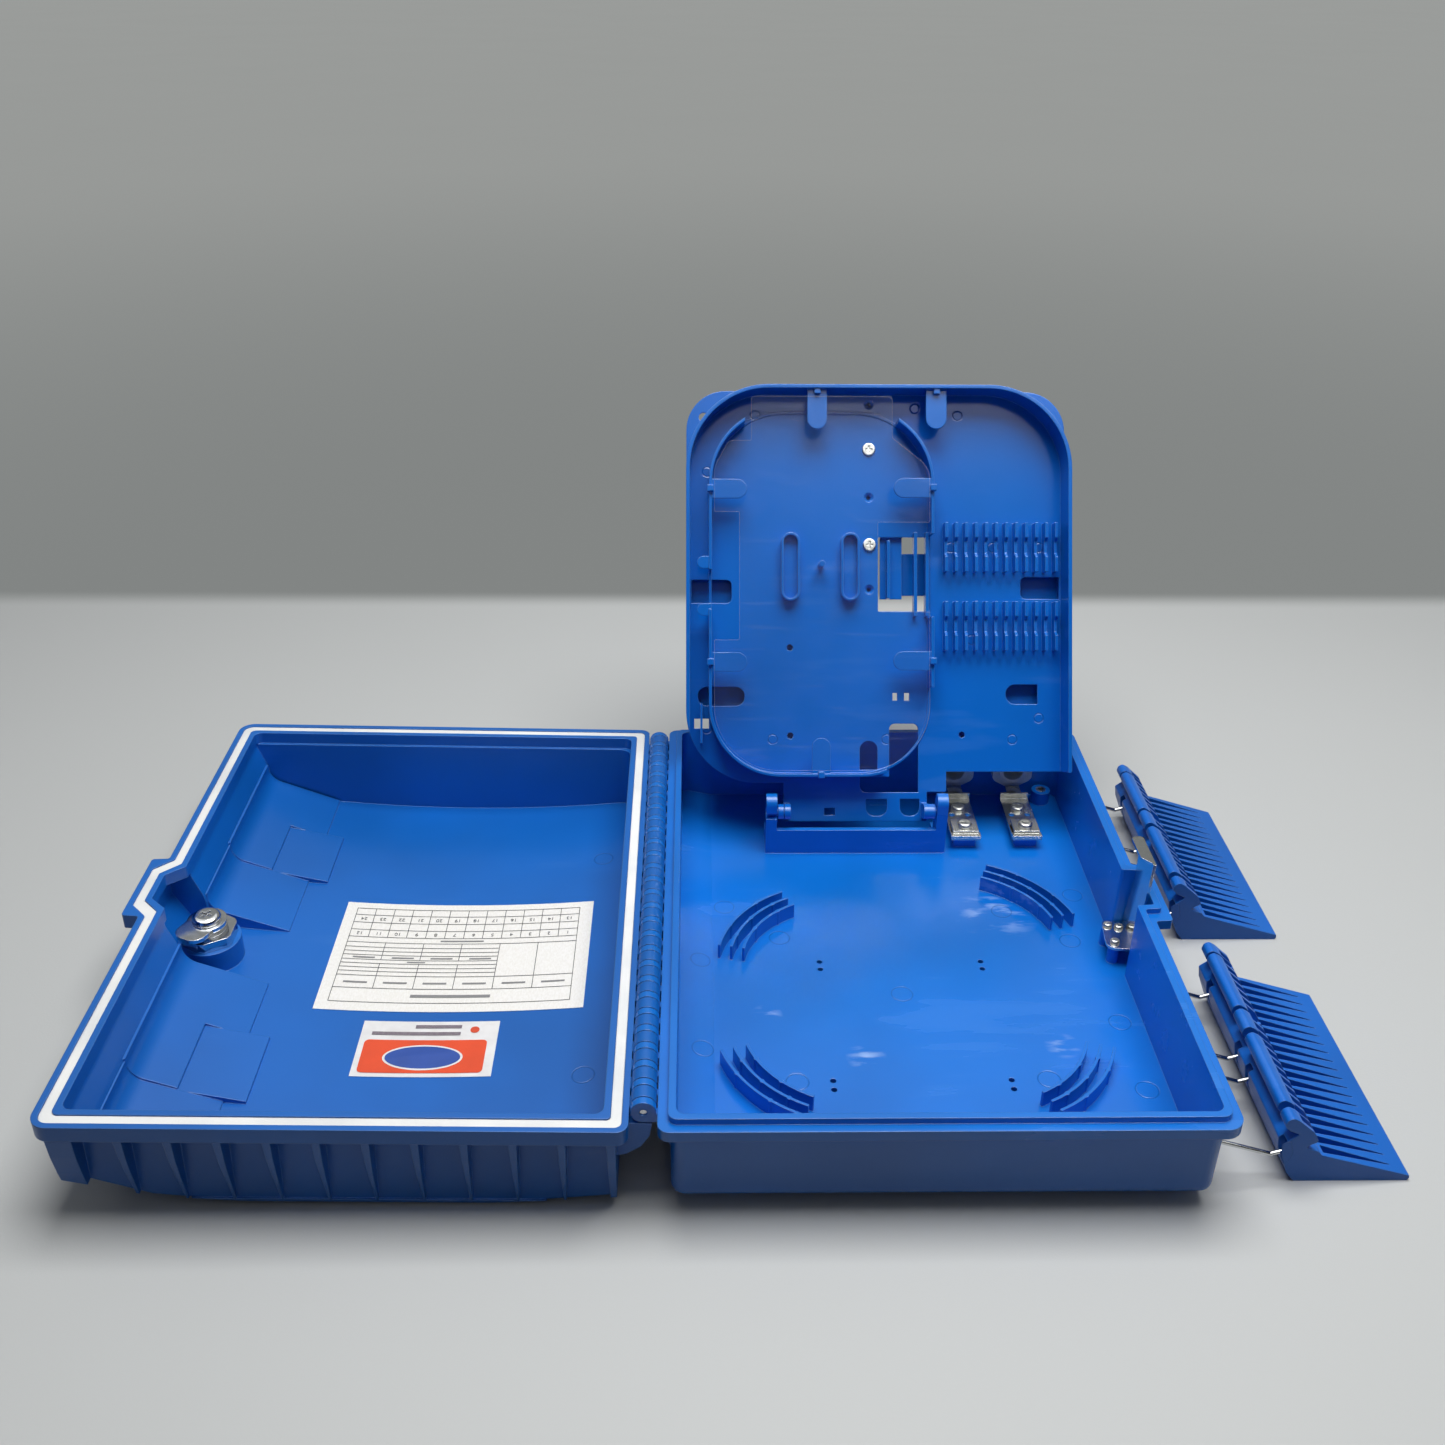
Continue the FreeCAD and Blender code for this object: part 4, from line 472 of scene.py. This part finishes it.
def glossy_print(name, tone):
    finish, shader, place = new_finish(name)
    screen = place.noise(2600, 2)
    cloud = place.noise(90, 3)
    colour = (0.6 * cloud + 0.4 * screen).rise(0.3, 0.7).blend(shade(tone, 0.88), tone)
    feed(shader, {"Base Color": colour, "Roughness": 0.32 + 0.14 * (cloud - 0.5),
                  "Normal": cloud.bump(0.00006)})
    return finish


FIELD_SIDE = 0.0036
FIELD_FOOT = 0.0024
FIELD_CORNER = 0.0022
field = bmesh.new()
patch(field, label_low.x + FIELD_SIDE, label_high.x - FIELD_SIDE, label_low.y + FIELD_FOOT, label_y(0.65))
ends = [v for v in field.verts if len(v.link_edges) == 2]
bmesh.ops.bevel(field, geom=ends, offset=FIELD_CORNER, affect="VERTICES", segments=4, profile=0.5,
                material=-1)
printed("label_field", field, glossy_print("label_orange", paint(240, 84, 44)), INK_LIFT)

oval_mid = Vector(((label_low.x + label_high.x) / 2, label_y(0.335), 0))
for name, finish, wide, tall, lift in (
        ("label_ring", film, 0.0187, 0.0084, 0.00018),
        ("label_oval", glossy_print("label_blue", paint(48, 84, 168)), 0.0176, 0.0074, 0.00024)):
    oval = bmesh.new()
    made = bmesh.ops.create_circle(oval, cap_ends=True, segments=56, radius=1)
    bmesh.ops.scale(oval, vec=(wide, tall, 1), verts=made["verts"])
    bmesh.ops.translate(oval, vec=oval_mid, verts=made["verts"])
    printed(name, oval, finish, lift)

BARS_RIGHT = 0.017
caption = bmesh.new()
for inset, low, high in ((0.006, 0.74, 0.80), (0.026, 0.87, 0.93)):
    patch(caption, label_low.x + inset, label_high.x - BARS_RIGHT, label_y(low), label_y(high))
printed("label_bars", caption, inked("caption_ink", paint(120, 108, 118), 0.4), INK_LIFT)

DOT_ROUND = 0.0022
DOT_RIGHT = 0.0105
dot = bmesh.new()
made = bmesh.ops.create_circle(dot, cap_ends=True, segments=24, radius=DOT_ROUND)
bmesh.ops.translate(dot, vec=(label_high.x - DOT_RIGHT, label_y(0.84), 0), verts=made["verts"])
printed("label_dot", dot, glossy_print("dot_orange", paint(226, 84, 52)), INK_LIFT)


# Splice tray: a glossy blue moulding that swings on the bracket, with a wall round it, splice combs on the
# right and fibre tabs over its edge. Small ejector marks follow its ribs.
TRAY_PIVOT = Vector((0, 0.0954, 0.0346))
TRAY_LEAN = Matrix.Rotation(math.radians(60), 3, "X")
TRAY_FLOOR = -9
TRAY_MARK_ROUND = 0.0026
TRAY_MARKS = ((40, 148), (64, 148), (90, 148), (52, 96), (90, 52), (44, 222), (-97, 190),
              (-97, 46), (20, 226), (-70, 222), (4, 40), (-60, 40), (75, 40))


def on_tray(across, along):
    """A place on the leaning tray's floor from its flat drawing in millimetres."""
    return tuple(TRAY_PIVOT + TRAY_LEAN @ (Vector((across, along, TRAY_FLOOR)) * MILLIMETRE))


tray_blue = moulded_blue("tray_blue", paint(9, 104, 196), 0.17, 0.24, 0.8,
                         [on_tray(*spot) for spot in TRAY_MARKS], TRAY_MARK_ROUND)
dress(["tray_plate"], tray_blue)


# Tray cover: a clear film lid snapped under the tabs of the tray. It shows by a painted shine along its
# edges and at glancing angles, where the film is painted opaque and pale, and by a faint haze of scratches.
COVER_CORNER = 0.0003
clear, shader, place = new_finish("clear_cover")
rounded = round_over(place, COVER_CORNER)
haze = place.noise(60, 6, (1, 0.3, 1))
hair = place.noise(240, 6, (0.1, 1, 1)).rise(0.60, 0.72)
gleam = place.node("ShaderNodeLayerWeight", {}, {"Blend": 0.25}, "Fresnel")
# Painted shine: corners and glancing angles turn the film opaque and pale; the scratches are real haze.
scratch_haze_and_painted_shine = 0.01 + 0.10 * gleam + 0.03 * hair + 0.8 * corner_mask(rounded)
feed(shader, {"Base Color": haze.rise(0.3, 0.7).blend(paint(190, 205, 225), paint(226, 234, 242)),
              "Roughness": 0.10 + 0.10 * haze, "Alpha": scratch_haze_and_painted_shine.least(0.9),
              "Normal": haze.bump(0.0001, rounded), "Specular IOR Level": 0.8})
dress(["tray_cover"], clear)


# Tray screws: two small steel screws with a pale plating, driven through the tray from its front. Their
# heads sit proud of the tray under the clear cover.
dress(["tray_screws"], plated_zinc("tray_screw_zinc", paint(228, 228, 224), 0.34))


# Latches: two blue comb-ribbed handles, each hooked on a pair of bent steel wires that pivot under the
# right-hand rim. The wire is drawn bright steel.
bail_steel = drawn_steel("bail_steel", paint(206, 207, 208), 0.18, (0.06, 1, 1))
dress(["bail_near_a", "bail_near_b", "bail_far_a", "bail_far_b"], bail_steel)
handle_blue = moulded_blue("handle_blue", paint(7, 101, 196), 0.38, 0.36, 0.6)
dress(["latch_handle_near", "latch_handle_far"], handle_blue)


# Bench and light: a pale grey sheet lies under the box and runs back to a darker grey backdrop, a painted
# glow that only the camera sees and that stands for the shaded back of the bench. A wide soft lamp hangs
# overhead, and the glossy pieces mirror a bright ceiling that the viewer doesn't see and that lights
# nothing, a painted reflection. The box is seen from above the near edge of the bench.
BENCH_HALF = 8
BACKDROP_FOOT, BACKDROP_RISE = 0.43, 0.46
BLACK = (0, 0, 0, 1)
bench_mesh = bmesh.new()
bmesh.ops.create_grid(bench_mesh, x_segments=1, y_segments=1, size=BENCH_HALF)
mesh = bpy.data.meshes.new("bench")
bench_mesh.to_mesh(mesh)
bench_mesh.free()
bench = bpy.data.objects.new("bench", mesh)
bpy.context.scene.collection.objects.link(bench)
sheet_grey, shader, place = new_finish("bench_grey")
away = place.part("Y")
cloud = place.noise(3, 3)
pale = (0.08 * cloud).blend(paint(195, 197, 196), paint(230, 230, 230))
camera_ray = place.node("ShaderNodeLightPath", {}, {}, "Is Camera Ray")
glossy_ray = place.node("ShaderNodeLightPath", {}, {}, "Is Glossy Ray")
spread = place.reach((0, 0, 0))
# Painted backdrop: past its foot and far off, the sheet glows grey for the camera only, lit by nothing,
# lighter with distance.
backdrop = away.rise(BACKDROP_FOOT, BACKDROP_RISE).most(spread.rise(0.9, 1.9)) * camera_ray
backdrop_grey = spread.rise(0.7, 2.6).blend(paint(118, 121, 120), paint(138, 140, 138))
# Painted shade: for bounce light the bench is a dark grey, darker than the camera sees it, which shades the
# box's near faces.
colour = camera_ray.most(glossy_ray).blend(paint(92, 94, 96), pale)
feed(shader, {"Base Color": backdrop.blend(colour, BLACK), "Roughness": 0.55 + 0.1 * (cloud - 0.5),
              "Emission Color": backdrop.blend(BLACK, backdrop_grey), "Emission Strength": 1.0,
              "Normal": place.noise(900, 2).bump(0.00004)})
mesh.materials.append(sheet_grey)

SOFT_PANEL = (1.05, 1.07, 1.06, 1)
BRIGHT_PANEL = (4.6, 4.7, 4.65, 1)
world = bpy.data.worlds.new("tent")
bpy.context.scene.world = world
world.use_nodes = True
sky = world.node_tree.nodes["Background"]
# Painted reflection: glossy rays see dark walls to the front and a ceiling with a bright panel to the front
# right, which lights nothing; bounce light sees a plain grey.
toward = Wire(world.node_tree, world.node_tree.nodes.new("ShaderNodeTexCoord").outputs["Generated"])
height = toward.part("Z")
front = toward.part("Y").rise(0.2, -0.2)
front_wall = height.rise(0.50, 0.66).blend(paint(40, 42, 44), paint(120, 123, 122))
walls = front.blend(paint(136, 139, 138), front_wall)
panel = (front * (0.3 + 0.7 * toward.part("X").rise(0.0, 0.2))).blend(SOFT_PANEL, BRIGHT_PANEL)
ceiling = (height - 0.025 * front).rise(0.60, 0.69).blend(walls, panel)
rays = toward.node("ShaderNodeLightPath", {}, {}, "Is Glossy Ray")
rays = rays.most(toward.node("ShaderNodeLightPath", {}, {}, "Is Transmission Ray"))
seen = toward.node("ShaderNodeLightPath", {}, {}, "Is Camera Ray")
feed(sky, {"Color": seen.blend(rays.blend(paint(86, 88, 91), ceiling), paint(152, 154, 152))})

lamp = bpy.data.lights.new("overhead", "AREA")
lamp.shape = "RECTANGLE"
lamp.size = 0.9
lamp.size_y = 0.7
lamp.energy = 16
overhead = bpy.data.objects.new("overhead", lamp)
overhead.location = (0.05, 0.02, 1.2)
bpy.context.scene.collection.objects.link(overhead)

EYE = (-0.1029, -0.5752, 0.4790)
PITCH, YAW, ROLL = math.radians(30.0), math.radians(1.2), math.radians(0.611)
SENSOR = 36
FOCAL_PIXELS, PICTURE_PIXELS = 1447, 1445
ahead = Vector((math.sin(YAW) * math.cos(PITCH), math.cos(YAW) * math.cos(PITCH), -math.sin(PITCH)))
level = Vector((math.cos(YAW), -math.sin(YAW), 0))
upward = level.cross(ahead)
side = math.cos(ROLL) * level + math.sin(ROLL) * upward
top = -math.sin(ROLL) * level + math.cos(ROLL) * upward
camera = bpy.data.cameras.new("camera")
camera.sensor_width = SENSOR
camera.lens = SENSOR * FOCAL_PIXELS / PICTURE_PIXELS
viewer = bpy.data.objects.new("camera", camera)
viewer.matrix_world = Matrix.Translation(EYE) @ Matrix((side, top, -ahead)).transposed().to_4x4()
bpy.context.scene.collection.objects.link(viewer)
bpy.context.scene.camera = viewer
bpy.context.scene.view_settings.view_transform = "Standard"
